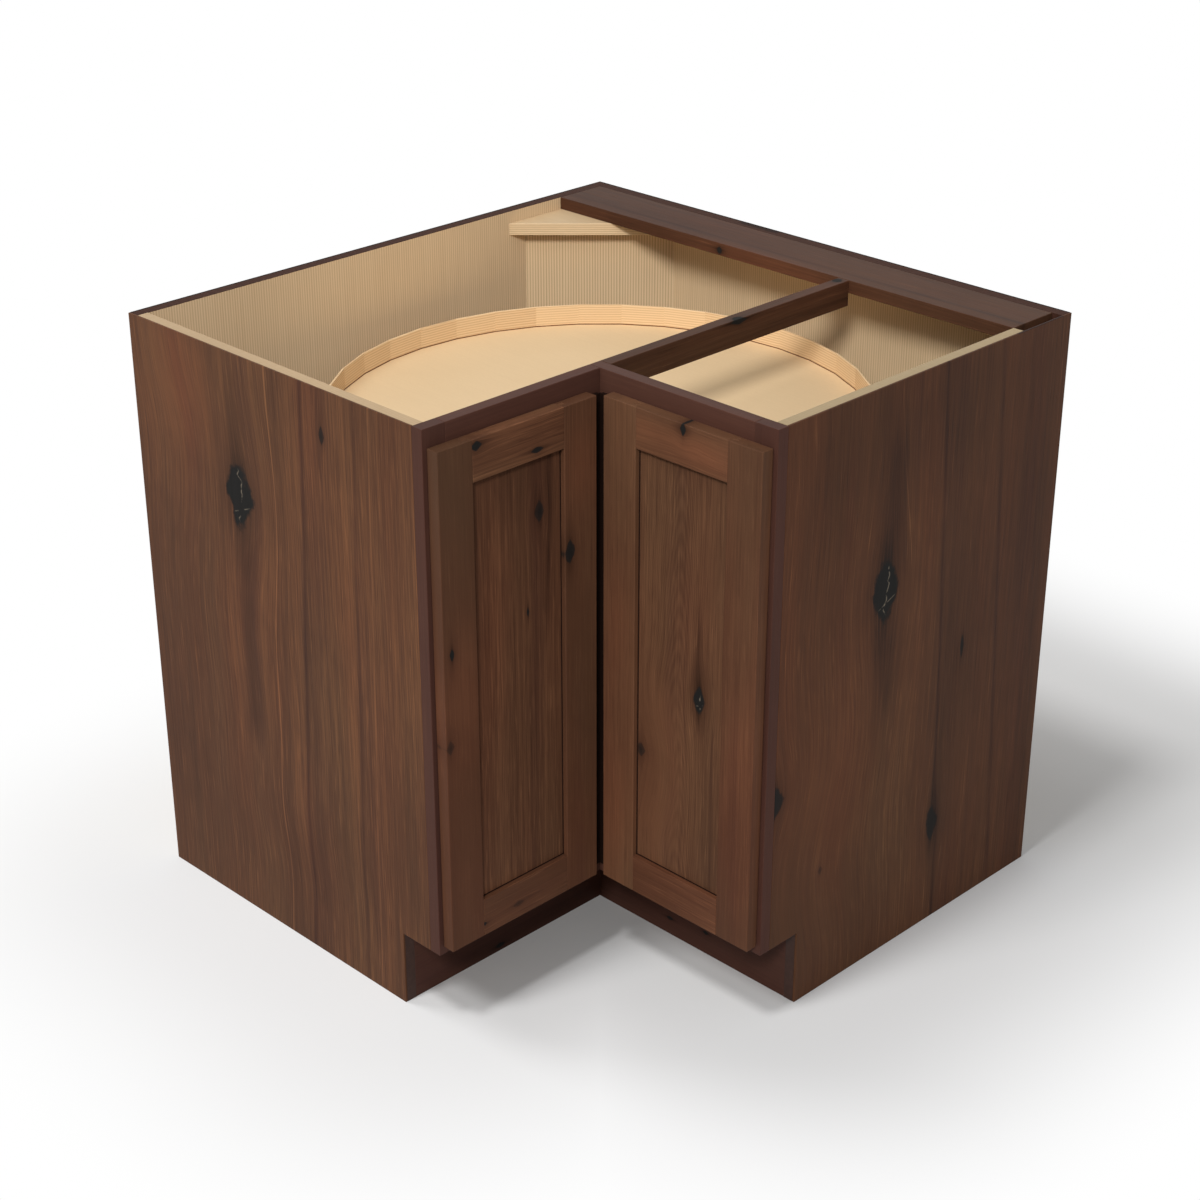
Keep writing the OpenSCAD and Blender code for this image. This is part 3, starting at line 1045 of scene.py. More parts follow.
class ScrewMaker:
    """Places a screw head at each point with a Geometry Nodes tree."""

    def __init__(self) -> None:
        """Builds the head with its cross recess, and the tree that repeats it."""
        self.head = self.make_head()
        self.tree = self.make_tree()

    @staticmethod
    def make_head() -> bpy.types.Object:
        """A domed head of unit radius with a cross recess."""
        dome = [(0.35, 0.49), (0.62, 0.44), (0.84, 0.33), (0.97, 0.16), (1.0, 0.0)]
        sides = 24
        around = [2 * math.pi * i / sides for i in range(sides)]
        bm = bmesh.new()
        loops = [
            [bm.verts.new((r * math.cos(a), r * math.sin(a), h)) for a in around]
            for r, h in dome
        ]
        tip = bm.verts.new((0, 0, HEAD_HIGH))
        for i in range(sides):
            j = (i + 1) % sides
            bm.faces.new((tip, loops[0][i], loops[0][j]))
            for inner, outer in zip(loops, loops[1:]):
                bm.faces.new((inner[i], outer[i], outer[j], inner[j]))
        bm.faces.new(list(reversed(loops[-1])))
        mesh = bpy.data.meshes.new("screw_head")
        bm.to_mesh(mesh)
        bm.free()
        head = bpy.data.objects.new("screw_head", mesh)
        bpy.context.scene.collection.objects.link(head)
        bars = bmesh.new()
        long, wide, deep, middle = 0.95, 0.16, 0.5, 0.47
        for size in ((long, wide, deep), (wide, long, deep)):
            made = bmesh.ops.create_cube(bars, size=1.0)
            bmesh.ops.scale(bars, vec=size, verts=made["verts"])
            bmesh.ops.translate(bars, vec=(0, 0, middle), verts=made["verts"])
        cut = bpy.data.meshes.new("recess")
        bars.to_mesh(cut)
        bars.free()
        recess = bpy.data.objects.new("recess", cut)
        bpy.context.scene.collection.objects.link(recess)
        cutter = head.modifiers.new("recess", "BOOLEAN")
        cutter.operation = "DIFFERENCE"
        cutter.solver = "EXACT"
        cutter.use_self = True
        cutter.object = recess
        done = Workshop.plain(head, "screw_head_cut", STEEL)
        bpy.data.objects.remove(recess)
        return done

    @staticmethod
    def make_tree() -> bpy.types.NodeTree:
        """The tree that puts a head on each point, aimed along the point's own direction."""
        inputs = {
            "Points": "Geometry",
            "Head": "Object",
            "Radius": "Float",
            "Height": "Float",
            "Finish": "Material",
        }
        graph = Graph.group("screw_heads", inputs, "Heads")
        given = graph.node("NodeGroupInput").outputs
        head = graph.node("GeometryNodeObjectInfo", inputs={"Object": given["Head"]})
        aim = graph.node(
            "GeometryNodeInputNamedAttribute", {"data_type": "FLOAT_VECTOR"}, {"Name": "aim"}
        )
        turn = graph.node(
            "FunctionNodeAlignRotationToVector",
            {"axis": "Z"},
            {"Vector": aim.outputs["Attribute"]},
        )
        spin = graph.node(
            "FunctionNodeRandomValue",
            {"data_type": "FLOAT"},
            {"Min": 0.0, "Max": 1.5, "Seed": 7},
        )
        twist = graph.node("ShaderNodeCombineXYZ", inputs={2: spin.outputs[1]})
        eulers = graph.node("FunctionNodeEulerToRotation", inputs={0: twist.outputs[0]})
        joined = graph.node(
            "FunctionNodeRotateRotation",
            {"rotation_space": "LOCAL"},
            {0: turn.outputs[0], 1: eulers.outputs[0]},
        )
        size = graph.node(
            "ShaderNodeCombineXYZ",
            inputs={0: given["Radius"], 1: given["Radius"], 2: given["Height"]},
        )
        placed = graph.node(
            "GeometryNodeInstanceOnPoints",
            inputs={
                "Points": given["Points"],
                "Instance": head.outputs["Geometry"],
                "Rotation": joined.outputs[0],
                "Scale": size.outputs[0],
            },
        )
        graph.finish_group(placed, given["Finish"])
        return graph.tree

    def set_screws(
        self,
        node: str,
        name: str,
        body: str,
        points: Sequence[tuple[Vector, Vector]],
        size: Screw,
    ) -> None:
        """Makes one piece that holds every screw head of a group.

        Args:
            node: The frame's node that it stands for.
            name: The piece's name.
            body: The body that it rides on.
            points: Each head's seat and the direction in which it looks.
            size: The heads' size.
        """
        mesh = bpy.data.meshes.new(name + "_points")
        mesh.from_pydata([tuple(seat) for seat, _ in points], [], [])
        aims = mesh.attributes.new("aim", "FLOAT_VECTOR", "POINT")
        for entry, (_, aim) in zip(aims.data, points):
            entry.vector = aim
        values = {"Head": self.head, "Radius": size.radius, "Height": size.height / HEAD_HIGH}
        piece = Workshop.grow(name, mesh, self.tree, values, STEEL)
        Workshop.stand_for(node, piece, body, "zinc_steel")

    def clear(self) -> None:
        """Removes the head that the tree copied."""
        bpy.data.objects.remove(self.head)


# ---- The cabinet's sub-assemblies ----


@dataclass
class Carcass:
    """End panels, back panels, diagonal panel, deck and what carries it."""

    height: float = 0.8763
    toe_front: float = 0.0762
    toe_high: float = 0.1143
    wall_inner: float = 0.43815
    outer_line: float = 0.4543
    skin_ease: float = 0.0006
    light_grain: Colour = srgb(146, 101, 70)
    body: str = "cabinet"

    def left_veneer(self) -> StainedWood:
        """The left end panel's veneer, with its large knot and leaning figure."""
        return StainedWood(
            "left_end_veneer",
            drift=0.75,
            middle=srgb(90, 61, 45),
            light=self.light_grain,
            across=Axis.X,
            tone=0.03,
            shift=1.3,
            knots=(
                Knot(-0.229, 0.672, 0.032, 0.048, crack=True),
                Knot(-0.044, 0.8125, 0.0055, 0.015, depth=0.75),
            ),
            streaks=(
                Streak(-0.101, 0.004, -0.17, 0.048, purple=0.5),
                Streak(-0.075, 0.030, -0.04, 0.048, purple=0.3),
                Streak(-0.166, 0.0012, 0.30, 0.02),
                Streak(-0.150, 0.020, -0.07, 0.03, purple=0.1),
                Streak(0.010, 0.004, -0.14, 0.03, purple=0.3),
                Streak(0.040, 0.0015, 0.16, 0.03),
                Streak(-0.225, 0.016, -0.14, purple=0.2, low=0.30, high=0.60),
            ),
            patches=(
                Patch(-0.355, 0.800, 0.10, 0.12, 0.10, red=0.30, lean=0.55, calm=0.6),
                Patch(-0.290, 0.560, 0.12, 0.14, 0.04, red=0.10, lean=-0.30),
                Patch(-0.020, 0.700, 0.10, 0.25, 0.06, red=0.10),
                Patch(0.060, 0.420, 0.08, 0.20, 0.08, red=0.05),
                Patch(-0.400, 0.300, 0.08, 0.30, -0.08, red=0.10),
                Patch(-0.180, 0.160, 0.16, 0.10, -0.05, red=0.10, lean=0.30),
                Patch(0.110, 0.250, 0.05, 0.20, -0.08),
            ),
        )

    def right_veneer(self) -> StainedWood:
        """The right end panel's veneer, with five knots and a reddish swirl."""
        return StainedWood(
            "right_end_veneer",
            drift=0.75,
            middle=srgb(91, 59, 42),
            light=self.light_grain,
            across=Axis.Y,
            tone=-0.06,
            red=-0.05,
            shift=5.1,
            zones=(Zone((-9, 0.335, 0.8757), (9, 0.4378, 9), srgb(50, 32, 26)),),
            knots=(
                Knot(0.0756, 0.584, 0.027, 0.052, crack=True),
                Knot(0.259, 0.435, 0.0045, 0.018, depth=0.75),
                Knot(0.216, 0.166, 0.014, 0.030, depth=0.85),
                Knot(-0.139, 0.347, 0.024, 0.026, depth=0.9),
                Knot(-0.033, 0.197, 0.004, 0.006, depth=0.35),
            ),
            streaks=(
                Streak(0.203, 0.0035, -0.16, -0.052, purple=0.5),
                Streak(0.225, 0.026, -0.04, -0.052, purple=0.3),
                Streak(0.130, 0.0010, 0.20, -0.11, low=0.60, high=0.86),
                Streak(0.330, 0.004, -0.10, -0.07, purple=0.4),
                Streak(0.400, 0.030, -0.05, -0.05, purple=0.2),
                Streak(0.085, 0.018, -0.14, purple=0.2, low=0.40, high=0.52),
                Streak(0.086, 0.016, -0.16, purple=0.2, low=0.62, high=0.80),
            ),
            patches=(
                Patch(-0.030, 0.300, 0.10, 0.16, 0.10, red=0.10, lean=-0.40, calm=0.6),
                Patch(-0.080, 0.120, 0.12, 0.10, 0.00, red=-0.25, lean=0.30, calm=0.5),
                Patch(0.060, 0.560, 0.14, 0.20, 0.06, red=0.05),
                Patch(0.110, 0.140, 0.09, 0.16, 0.00, red=-0.20, lean=0.15),
                Patch(-0.080, 0.640, 0.12, 0.18, -0.03, red=0.05, lean=-0.15),
                Patch(0.350, 0.450, 0.12, 0.40, -0.08, red=0.10),
                Patch(0.150, 0.800, 0.24, 0.10, -0.12, red=-0.05),
            ),
        )

    def build(self) -> None:
        """Eases the skins and dresses the boards."""
        for node, finish in (
            ("left_end_skin", self.left_veneer()),
            ("right_end_skin", self.right_veneer()),
        ):
            Workshop.ease(node, self.body, "stained_veneer", finish, self.skin_ease)
        self.dress()

    def dress(self) -> None:
        """Gives the pale boards their finish and their stained edges."""
        top, line = self.height - 0.0005, self.outer_line
        deep, notch = srgb(30, 17, 13), srgb(66, 43, 35)
        toe_x, toe_z = self.toe_front - 0.0005, self.toe_high + 0.0005
        Workshop.wear(
            "left_end_core",
            PaleBoard(
                "left_core_board",
                across=Axis.X,
                line=0.10,
                base=srgb(200, 172, 135),
                low=srgb(158, 129, 93),
                zones=(Zone((toe_x, -9, -9), (9, 9, toe_z), notch),),
            ),
        )
        Workshop.wear(
            "right_end_core",
            PaleBoard(
                "right_core_board",
                across=Axis.Y,
                line=0.10,
                base=srgb(178, 156, 120),
                low=srgb(141, 119, 87),
                zones=(Zone((-9, -9, -9), (9, -toe_x, toe_z), notch),),
            ),
        )
        Workshop.wear(
            "left_back_panel",
            PaleBoard(
                "left_back_board",
                across=Axis.Y,
                base=srgb(230, 203, 165),
                low=srgb(182, 151, 114),
                gloss=0.02,
                zones=(
                    Zone((-9, -9, top)),
                    Zone((-9, -9, top), (-line, 9, 9), deep),
                ),
            ),
        )
        Workshop.wear(
            "right_back_panel",
            PaleBoard(
                "right_back_board",
                across=Axis.X,
                gloss=0.02,
                zones=(
                    Zone((-9, -9, top)),
                    Zone((self.wall_inner - 0.001, -9, -9)),
                    Zone((-9, line, top), (9, 9, 9), deep),
                    Zone((-0.146, 0.4455, top), (-0.069, 9, 9), srgb(20, 16, 15), 0.003),
                ),
            ),
        )
        Workshop.wear(
            "diagonal_back_panel",
            PaleBoard("diagonal_board", across=Axis.X, diagonal=True, line=0.40),
        )
        level = PaleBoard("deck_board", along=Axis.X, across=Axis.Y, line=0.08)
        for node in ("floor_deck", "left_stringer", "right_stringer", "deck_cleats"):
            Workshop.wear(node, level)


@dataclass
class TopBoards:
    """Rear board, cross rail and corner cleat."""

    ease: float = 0.0008
    body: str = "cabinet"

    def build(self) -> None:
        """Eases and dresses the boards at the open top."""
        Workshop.ease(
            "rear_nailer",
            self.body,
            "stained_frame_wood",
            StainedWood(
                "rear_board_wood",
                along=Axis.X,
                across=Axis.Y,
                tone=-0.14,
                red=0.15,
                lines=0.6,
                knots=(Knot(0.349, -0.097, 0.005, 0.006, deep=0.865),),
                streaks=(Streak(0.372, 0.004, -0.10, purple=0.3),),
                patches=(Patch(0.349, -0.02, 0.01, 0.14, 0.10, red=0.5),),
                shift=2.2,
            ),
            self.ease,
        )
        Workshop.ease(
            "cross_rail",
            self.body,
            "stained_frame_wood",
            StainedWood(
                "cross_rail_wood",
                along=Axis.Y,
                across=Axis.Z,
                tone=-0.10,
                red=0.05,
                lines=0.7,
                knots=(
                    Knot(0.8735, 0.115, 0.004, 0.016, deep=0.1524),
                    Knot(0.8763, 0.337, 0.006, 0.008, depth=0.8, deep=0.140),
                ),
                streaks=(Streak(0.853, 0.003, -0.12, 0.02), Streak(0.866, 0.002, 0.08, 0.02)),
                shift=3.7,
            ),
            self.ease,
        )
        Workshop.ease(
            "corner_cleat",
            self.body,
            "maple_board",
            PaleBoard("cleat_board", along=Axis.X, across=Axis.Z, pitch=0.0034, line=0.30),
            self.ease,
        )


@dataclass
class FaceFrame:
    """Stiles and rails of the face frame, and the toe boards."""

    ease: float = 0.0008
    body: str = "cabinet"

    @staticmethod
    def wood(
        name: str,
        along: Axis,
        across: Axis,
        tone: float,
        shift: float,
        knots: tuple[Knot, ...] = (),
    ) -> StainedWood:
        """The frame's smooth purplish wood.

        Args:
            name: The finish's name.
            along: The axis along the grain.
            across: The axis across the grain.
            tone: How far it is lighter or darker.
            shift: Where its noise is read.
            knots: Its knots.

        Returns:
            The finish.
        """
        return StainedWood(
            name,
            along=along,
            across=across,
            tone=tone,
            red=0.25,
            lines=0.45,
            drift=0.5,
            shift=shift,
            knots=knots,
            flecks=0.3,
            dark=srgb(44, 28, 24),
            middle=srgb(80, 55, 48),
            light=srgb(112, 80, 66),
        )

    def build(self) -> None:
        """Eases and dresses the frame and the toe boards."""
        left = self.wood("left_rail_wood", Axis.Y, Axis.Z, 0.03, 7.1)
        right = self.wood("right_rail_wood", Axis.X, Axis.Z, 0.04, 8.6)
        pieces = {
            "left_frame_stile": self.wood("left_stile_wood", Axis.Z, Axis.Y, -0.02, 4.4),
            "right_frame_stile": self.wood("right_stile_wood", Axis.Z, Axis.X, -0.06, 6.4),
            "left_top_rail": left,
            "left_bottom_rail": left,
            "right_top_rail": right,
            "right_bottom_rail": right,
            "left_toe_board": self.wood(
                "left_toe_wood",
                Axis.Y,
                Axis.Z,
                -0.12,
                9.3,
                (Knot(0.0094, -0.279, 0.005, 0.011),),
            ),
            "right_toe_board": self.wood(
                "right_toe_wood",
                Axis.X,
                Axis.Z,
                -0.12,
                9.9,
                (Knot(0.0274, 0.2196, 0.003, 0.006), Knot(0.0352, 0.29, 0.003, 0.005)),
            ),
        }
        for node, finish in pieces.items():
            Workshop.ease(node, self.body, "stained_frame_wood", finish, self.ease)


@dataclass
class Door:
    """One frame-and-panel door, each piece with its own grain."""

    prefix: str
    body: str
    finishes: Mapping[str, StainedWood]
    ease: float = 0.0011
    panel_ease: float = 0.0003
    lips: float = 0.1795

    def build(self) -> None:
        """Eases and dresses the door's five pieces."""
        for part, finish in self.finishes.items():
            width = self.panel_ease if part == "panel" else self.ease
            name = f"{self.prefix}_{part}"
            Workshop.ease(name, self.body, "stained_door_wood", finish, width, 3, self.lips)


def left_door() -> Door:
    """The left door, which hangs on the left leg's outer stile."""
    return Door(
        "door_a",
        "left_door",
        {
            "hinge_stile": StainedWood(
                "door_a_hinge_stile_wood",
                across=Axis.Y,
                tone=-0.04,
                red=0.05,
                lines=0.25,
                flecks=0.4,
                shift=11.2,
                knots=(
                    Knot(-0.4368, 0.5713, 0.0045, 0.010),
                    Knot(-0.444, 0.438, 0.007, 0.010, depth=0.45),
                ),
                patches=(
                    Patch(-0.43, 0.80, 0.05, 0.10, 0.00, red=-0.25),
                    Patch(-0.43, 0.50, 0.05, 0.10, 0.06, red=0.40),
                    Patch(-0.43, 0.20, 0.05, 0.12, 0.04, red=0.30),
                ),
            ),
            "inner_stile": StainedWood(
                "door_a_inner_stile_wood",
                across=Axis.Y,
                # Painted shade: the lip behind the gap between the doors is near-black
                zones=(Zone((-9, -0.1793, -9), tint=LIP_SHADE),),
                flecks=0.5,
                red=0.1,
                lines=0.35,
                shift=12.9,
                knots=(Knot(-0.2281, 0.6447, 0.009, 0.017, depth=0.9),),
                patches=(
                    Patch(-0.20, 0.76, 0.04, 0.07, 0.06, red=0.45),
                    Patch(-0.20, 0.45, 0.04, 0.12, 0.0, red=-0.25),
                ),
            ),
            "top_rail": StainedWood(
                "door_a_top_rail_wood",
                along=Axis.Y,
                across=Axis.Z,
                tone=0.06,
                red=0.1,
                lines=0.9,
                shift=13.4,
                knots=(
                    Knot(0.8414, -0.3875, 0.0075, 0.010),
                    Knot(0.8062, -0.2849, 0.004, 0.011, depth=0.9),
                ),
                streaks=(Streak(0.822, 0.0035, -0.22, 0.10), Streak(0.803, 0.003, -0.25, 0.12)),
                patches=(Patch(0.85, -0.33, 0.015, 0.08, 0.06, red=0.2, lean=0.10),),
            ),
            "bottom_rail": StainedWood(
                "door_a_bottom_rail_wood",
                along=Axis.Y,
                across=Axis.Z,
                tone=0.02,
                red=0.35,
                lines=0.35,
                shift=14.8,
                knots=(
                    Knot(0.1452, -0.3929, 0.0035, 0.0045),
                    Knot(0.1490, -0.330, 0.004, 0.010, depth=0.35),
                ),
            ),
            "panel": StainedWood(
                "door_a_panel_wood",
                across=Axis.Y,
                # Painted shade: dark strips along the panel's edges stand in for the shade where
                # it sits in its frame
                zones=(
                    Zone(high=(9, -0.3918, 9), tint=PANEL_EDGE_SHADE),
                    Zone(low=(-9, -0.2381, -9), tint=srgb(40, 25, 19)),
                    Zone(high=(9, 9, 0.1857), tint=PANEL_EDGE_SHADE),
                ),
                red=0.1,
                drift=0.7,
                shift=15.5,
                knots=(
                    Knot(-0.2753, 0.7155, 0.009, 0.017, depth=0.7),
                    Knot(-0.2972, 0.5802, 0.002, 0.007),
                ),
                streaks=(
                    Streak(-0.262, 0.006, -0.26, 0.02, purple=0.2, low=0.55, high=0.82),
                    Streak(-0.285, 0.010, -0.10, 0.02, purple=0.2),
                    Streak(-0.345, 0.012, 0.08),
                ),
                patches=(
                    Patch(-0.35, 0.55, 0.05, 0.20, 0.02, red=0.25),
                    Patch(-0.33, 0.78, 0.05, 0.05, -0.06),
                ),
            ),
        },
    )


def right_door() -> Door:
    """The right door, which hangs on the left door's inner edge."""
    return Door(
        "door_b",
        "right_door",
        {
            "inner_stile": StainedWood(
                "door_b_inner_stile_wood",
                across=Axis.X,
                # Painted shade: the lip behind the gap between the doors is near-black
                zones=(Zone(high=(0.1793, 9, 9), tint=LIP_SHADE),),
                flecks=0.5,
                tone=0.09,
                red=-0.05,
                lines=0.45,
                shift=21.3,
                patches=(
                    Patch(0.20, 0.55, 0.04, 0.12, 0.05, red=0.30),
                    Patch(0.20, 0.25, 0.04, 0.12, 0.05, red=0.45),
                ),
            ),
            "outer_stile": StainedWood(
                "door_b_outer_stile_wood",
                across=Axis.X,
                tone=0.01,
                red=0.1,
                lines=0.45,
                flecks=0.5,
                shift=22.6,
                patches=(Patch(0.42, 0.30, 0.04, 0.15, 0.06, red=0.35),),
            ),
            "top_rail": StainedWood(
                "door_b_top_rail_wood",
                along=Axis.X,
                across=Axis.Z,
                tone=0.10,
                lines=0.4,
                flecks=0.5,
                shift=23.1,
                knots=(Knot(0.8435, 0.3185, 0.011, 0.0055),),
                patches=(
                    Patch(0.82, 0.35, 0.02, 0.05, 0.10, red=0.25, lean=0.3),
                    Patch(0.83, 0.25, 0.02, 0.03, 0.08, red=0.1),
                ),
            ),
            "bottom_rail": StainedWood(
                "door_b_bottom_rail_wood",
                along=Axis.X,
                across=Axis.Z,
                tone=0.04,
                red=0.35,
                lines=0.45,
                shift=24.9,
            ),
            "panel": StainedWood(
                "door_b_panel_wood",
                across=Axis.X,
                # Painted shade: dark strips along the panel's edges stand in for the shade where
                # it sits in its frame
                zones=(
                    Zone(high=(0.2383, 9, 9), tint=srgb(40, 25, 19)),
                    Zone(low=(0.3918, -9, -9), tint=srgb(46, 29, 22)),
                    Zone(high=(9, 9, 0.1857), tint=PANEL_EDGE_SHADE),
                ),
                tone=0.02,
                red=-0.1,
                lines=0.75,
                shift=25.4,
                cathedral=(0.311, 0.62),
                knots=(
                    Knot(0.3478, 0.4695, 0.011, 0.021, crack=True),
                    Knot(0.2434, 0.3539, 0.009, 0.011, depth=0.6),
                ),
                streaks=(
                    Streak(0.372, 0.003, -0.12, purple=0.2, low=-0.1, high=0.45),
                    Streak(0.345, 0.005, -0.16, purple=0.1, low=0.48, high=0.60),
                ),
                patches=(
                    Patch(0.270, 0.40, 0.04, 0.08, 0.05, red=0.20, lean=0.4, calm=0.8),
                    Patch(0.270, 0.27, 0.05, 0.07, 0.04, red=0.15, lean=-0.4, calm=0.8),
                    Patch(0.310, 0.80, 0.06, 0.05, -0.03, red=0.1),
                ),
            ),
        },
    )


@dataclass
class Hinges:
    """Concealed hinges of the left door and the leaves that join the doors."""

    frame_middle: float = 0.142875
    stile_inner: float = -0.4191
    door_back: float = 0.1536
    cup_y: float = -0.42935
    heights: tuple[float, float] = (0.227, 0.7509)
    plate_thick: float = 0.002
    flange_thick: float = 0.0008
    leaf_thick: float = 0.002
    leaf_screw_y: float = -0.1974
    screw_apart: float = 0.015
    cup_apart: float = 0.0227
    plate_screw: Screw = Screw(0.004, 0.0015)
    cup_screw: Screw = Screw(0.0034, 0.0003)
    leaf_screw: Screw = Screw(0.004, 0.001)

    def column(self, x: float, y: float, apart: float, aim: Vector) -> list:
        """Seats above and below the middle of each hinge.

        Args:
            x: The seats' x.
            y: The seats' y.
            apart: Distance of a seat from the hinge's middle.
            aim: The direction in which the heads look.

        Returns:
            Each seat with its aim.
        """
        return [(Vector((x, y, z + side * apart)), aim) for z in self.heights for side in (-1, 1)]

    def build(self, screws: ScrewMaker) -> None:
        """Eases the metal parts and sets their screws.

        Args:
            screws: The maker of screw heads.
        """
        for node, body, width in (
            ("hinge_plates", "cabinet", 0.0004),
            ("hinge_arms", "cabinet", 0.0005),
            ("hinge_cups", "left_door", 0.0003),
            ("fold_leaves_a", "left_door", 0.0004),
            ("fold_leaves_b", "right_door", 0.0004),
            ("fold_pins", "left_door", 0.0005),
        ):
            Workshop.ease(node, body, "zinc_steel", STEEL, width)
        plate_y = self.stile_inner + self.plate_thick
        flange_x = self.door_back - self.flange_thick
        leaf_x = self.door_back - self.leaf_thick
        outward, inward = Vector((0, 1, 0)), Vector((-1, 0, 0))
        plates = self.column(self.frame_middle, plate_y, self.screw_apart, outward)
        cups = self.column(flange_x, self.cup_y, self.cup_apart, inward)
        leaves_a = self.column(leaf_x, self.leaf_screw_y, self.screw_apart, inward)
        leaves_b = self.column(-self.leaf_screw_y, -leaf_x, self.screw_apart, outward)
        for node, name, body, points, size in (
            ("hinge_plate_screws", "plate_screws", "cabinet", plates, self.plate_screw),
            ("hinge_cup_screws", "cup_screws", "left_door", cups, self.cup_screw),
            ("fold_screws_a", "leaf_screws_a", "left_door", leaves_a, self.leaf_screw),
            ("fold_screws_b", "leaf_screws_b", "right_door", leaves_b, self.leaf_screw),
        ):
            screws.set_screws(node, name, body, points, size)
        Workshop.wear("door_bumpers", RUBBER)


@dataclass
class Carousel:
    """Two kidney trays on a post, with hubs, bushes and cap."""

    outer: float = 0.382
    notch: float = 0.100
    lobe: float = 0.100
    notch_round: float = 0.060
    rim_thick: float = 0.0032
    rim_high: float = 0.04445
    facets: int = 36
    notch_steps: int = 6
    lobe_steps: int = 10
    round_over: float = 0.0010
    floors: tuple[float, float] = (0.2698, 0.727)
    tray_thick: float = 0.0127
    hub_plate: float = 0.005
    screw_ring: float = 0.047025
    base_top: float = 0.13835
    screw: Screw = Screw(0.005, 0.0025)

    def path(self, inset: float) -> list[tuple[float, float]]:
        """The tray's outline, taken in by a distance.

        Args:
            inset: Distance inside the rim's outer face.

        Returns:
            The outline's points in order.
        """
        radius, at = self.outer - inset, self.notch - inset
        lobe, inner = self.lobe - inset, self.notch_round + inset
        lobe_at = self.notch - self.lobe
        reach = math.sqrt((self.outer - self.lobe) ** 2 - lobe_at**2)
        turn = math.degrees(math.atan2(-lobe_at, reach))
        sweep = 270 - 2 * turn

        def arc(cx: float, cy: float, r: float, a0: float, a1: float, n: int) -> list:
            """Points on an arc, from angle a0 to a1 in n steps."""
            angles = [math.radians(a0 + (a1 - a0) * i / n) for i in range(n + 1)]
            return [(cx + r * math.cos(a), cy + r * math.sin(a)) for a in angles]

        steps = round(sweep * self.facets / 360)
        points = arc(at + inner, -at - inner, inner, 180, 90, self.notch_steps)
        points += arc(reach, -lobe_at, lobe, -90, turn, self.lobe_steps)
        points += arc(0, 0, radius, turn, turn + sweep, steps)
        points += arc(lobe_at, -reach, lobe, turn + sweep, 360, self.lobe_steps)
        kept: list[tuple[float, float]] = []
        for p in points:
            if not kept or math.dist(p, kept[-1]) > 1e-5:
                kept.append(p)
        if math.dist(kept[0], kept[-1]) < 1e-5:
            kept.pop()
        return kept

    def rim_tree(self) -> bpy.types.NodeTree:
        """The tree that sweeps the rim's section along the tray's outline."""
        inputs = {
            "Outline": "Geometry",
            "Thickness": "Float",
            "Height": "Float",
            "Round": "Float",
            "Finish": "Material",
        }
        graph = Graph.group("bent_rim", inputs, "Rim")
        given = graph.node("NodeGroupInput").outputs
        curve = graph.node("GeometryNodeMeshToCurve", inputs={"Mesh": given["Outline"]})
        upright = graph.node(
            "GeometryNodeSetCurveNormal", {"mode": "Z_UP"}, {"Curve": curve.outputs[0]}
        )
        section = graph.node(
            "GeometryNodeCurvePrimitiveQuadrilateral",
            inputs={"Width": given["Thickness"], "Height": given["Height"]},
        )
        eased = graph.node(
            "GeometryNodeFilletCurve",
            {"mode": "POLY"},
            {"Curve": section.outputs[0], "Radius": given["Round"], "Count": 3},
        )
        swept = graph.node(
            "GeometryNodeCurveToMesh",
            inputs={"Curve": upright.outputs[0], "Profile Curve": eased.outputs[0]},
        )
        flat = graph.node(
            "GeometryNodeSetShadeSmooth",
            inputs={"Geometry": swept.outputs[0], "Shade Smooth": False},
        )
        graph.finish_group(flat, given["Finish"])
        return graph.tree

    def make_rim(self, tree: bpy.types.NodeTree, node: str, floor: float) -> None:
        """Sweeps one rim and lets it stand for its node.

        Args:
            tree: The rim's tree.
            node: The frame's node.
            floor: Height of the tray's floor.
        """
        level = floor - self.tray_thick + self.rim_high / 2
        points = [(x, y, level) for x, y in self.path(self.rim_thick / 2)]
        mesh = bpy.data.meshes.new(node + "_outline")
        count = len(points)
        mesh.from_pydata(points, [(i, (i + 1) % count) for i in range(count)], [])
        values = {"Thickness": self.rim_thick, "Height": self.rim_high, "Round": self.round_over}
        piece = Workshop.grow(node + "_bent", mesh, tree, values, RIM)
        bm = bmesh.new()
        bm.from_mesh(piece.data)
        bmesh.ops.recalc_face_normals(bm, faces=bm.faces)
        bm.to_mesh(piece.data)
        bm.free()
        Workshop.stand_for(node, piece, "carousel", "tray_wood")

    def build(self, screws: ScrewMaker) -> None:
        """Makes the rims, eases the trays and dresses the metal.

        Args:
            screws: The maker of screw heads.
        """
        tree = self.rim_tree()
        for node, floor in zip(("lower_rim", "upper_rim"), self.floors):
            self.make_rim(tree, node, floor)
        for node in ("lower_tray", "upper_tray"):
            Workshop.ease(node, "carousel", "tray_wood", TRAY, 0.0008)
        for node in ("lower_hub", "upper_hub", "post"):
            Workshop.ease(node, "carousel", "zinc_steel", STEEL, 0.0005)
        for node in ("floor_flange", "spindle"):
            Workshop.ease(node, "cabinet", "zinc_steel", STEEL, 0.0005)
        Workshop.ease("post_cap", "carousel", "nylon", NYLON, 0.002, 4)
        for node in ("lower_bush", "upper_bush", "thrust_washer"):
            Workshop.wear(node, NYLON)
        ring = self.screw_ring * math.sqrt(0.5)
        under = [floor - self.tray_thick - self.hub_plate for floor in self.floors]
        for node, body, levels, up in (
            ("hub_screws", "carousel", under, -1),
            ("flange_screws", "cabinet", [self.base_top], 1),
        ):
            points = [
                (Vector((x * ring, y * ring, z)), Vector((0, 0, up)))
                for z in levels
                for x, y in ((1, 1), (-1, 1), (-1, -1), (1, -1))
            ]
            name = node.replace("screws", "screw_heads")
            screws.set_screws(node, name, body, points, self.screw)


# ---- Studio ----


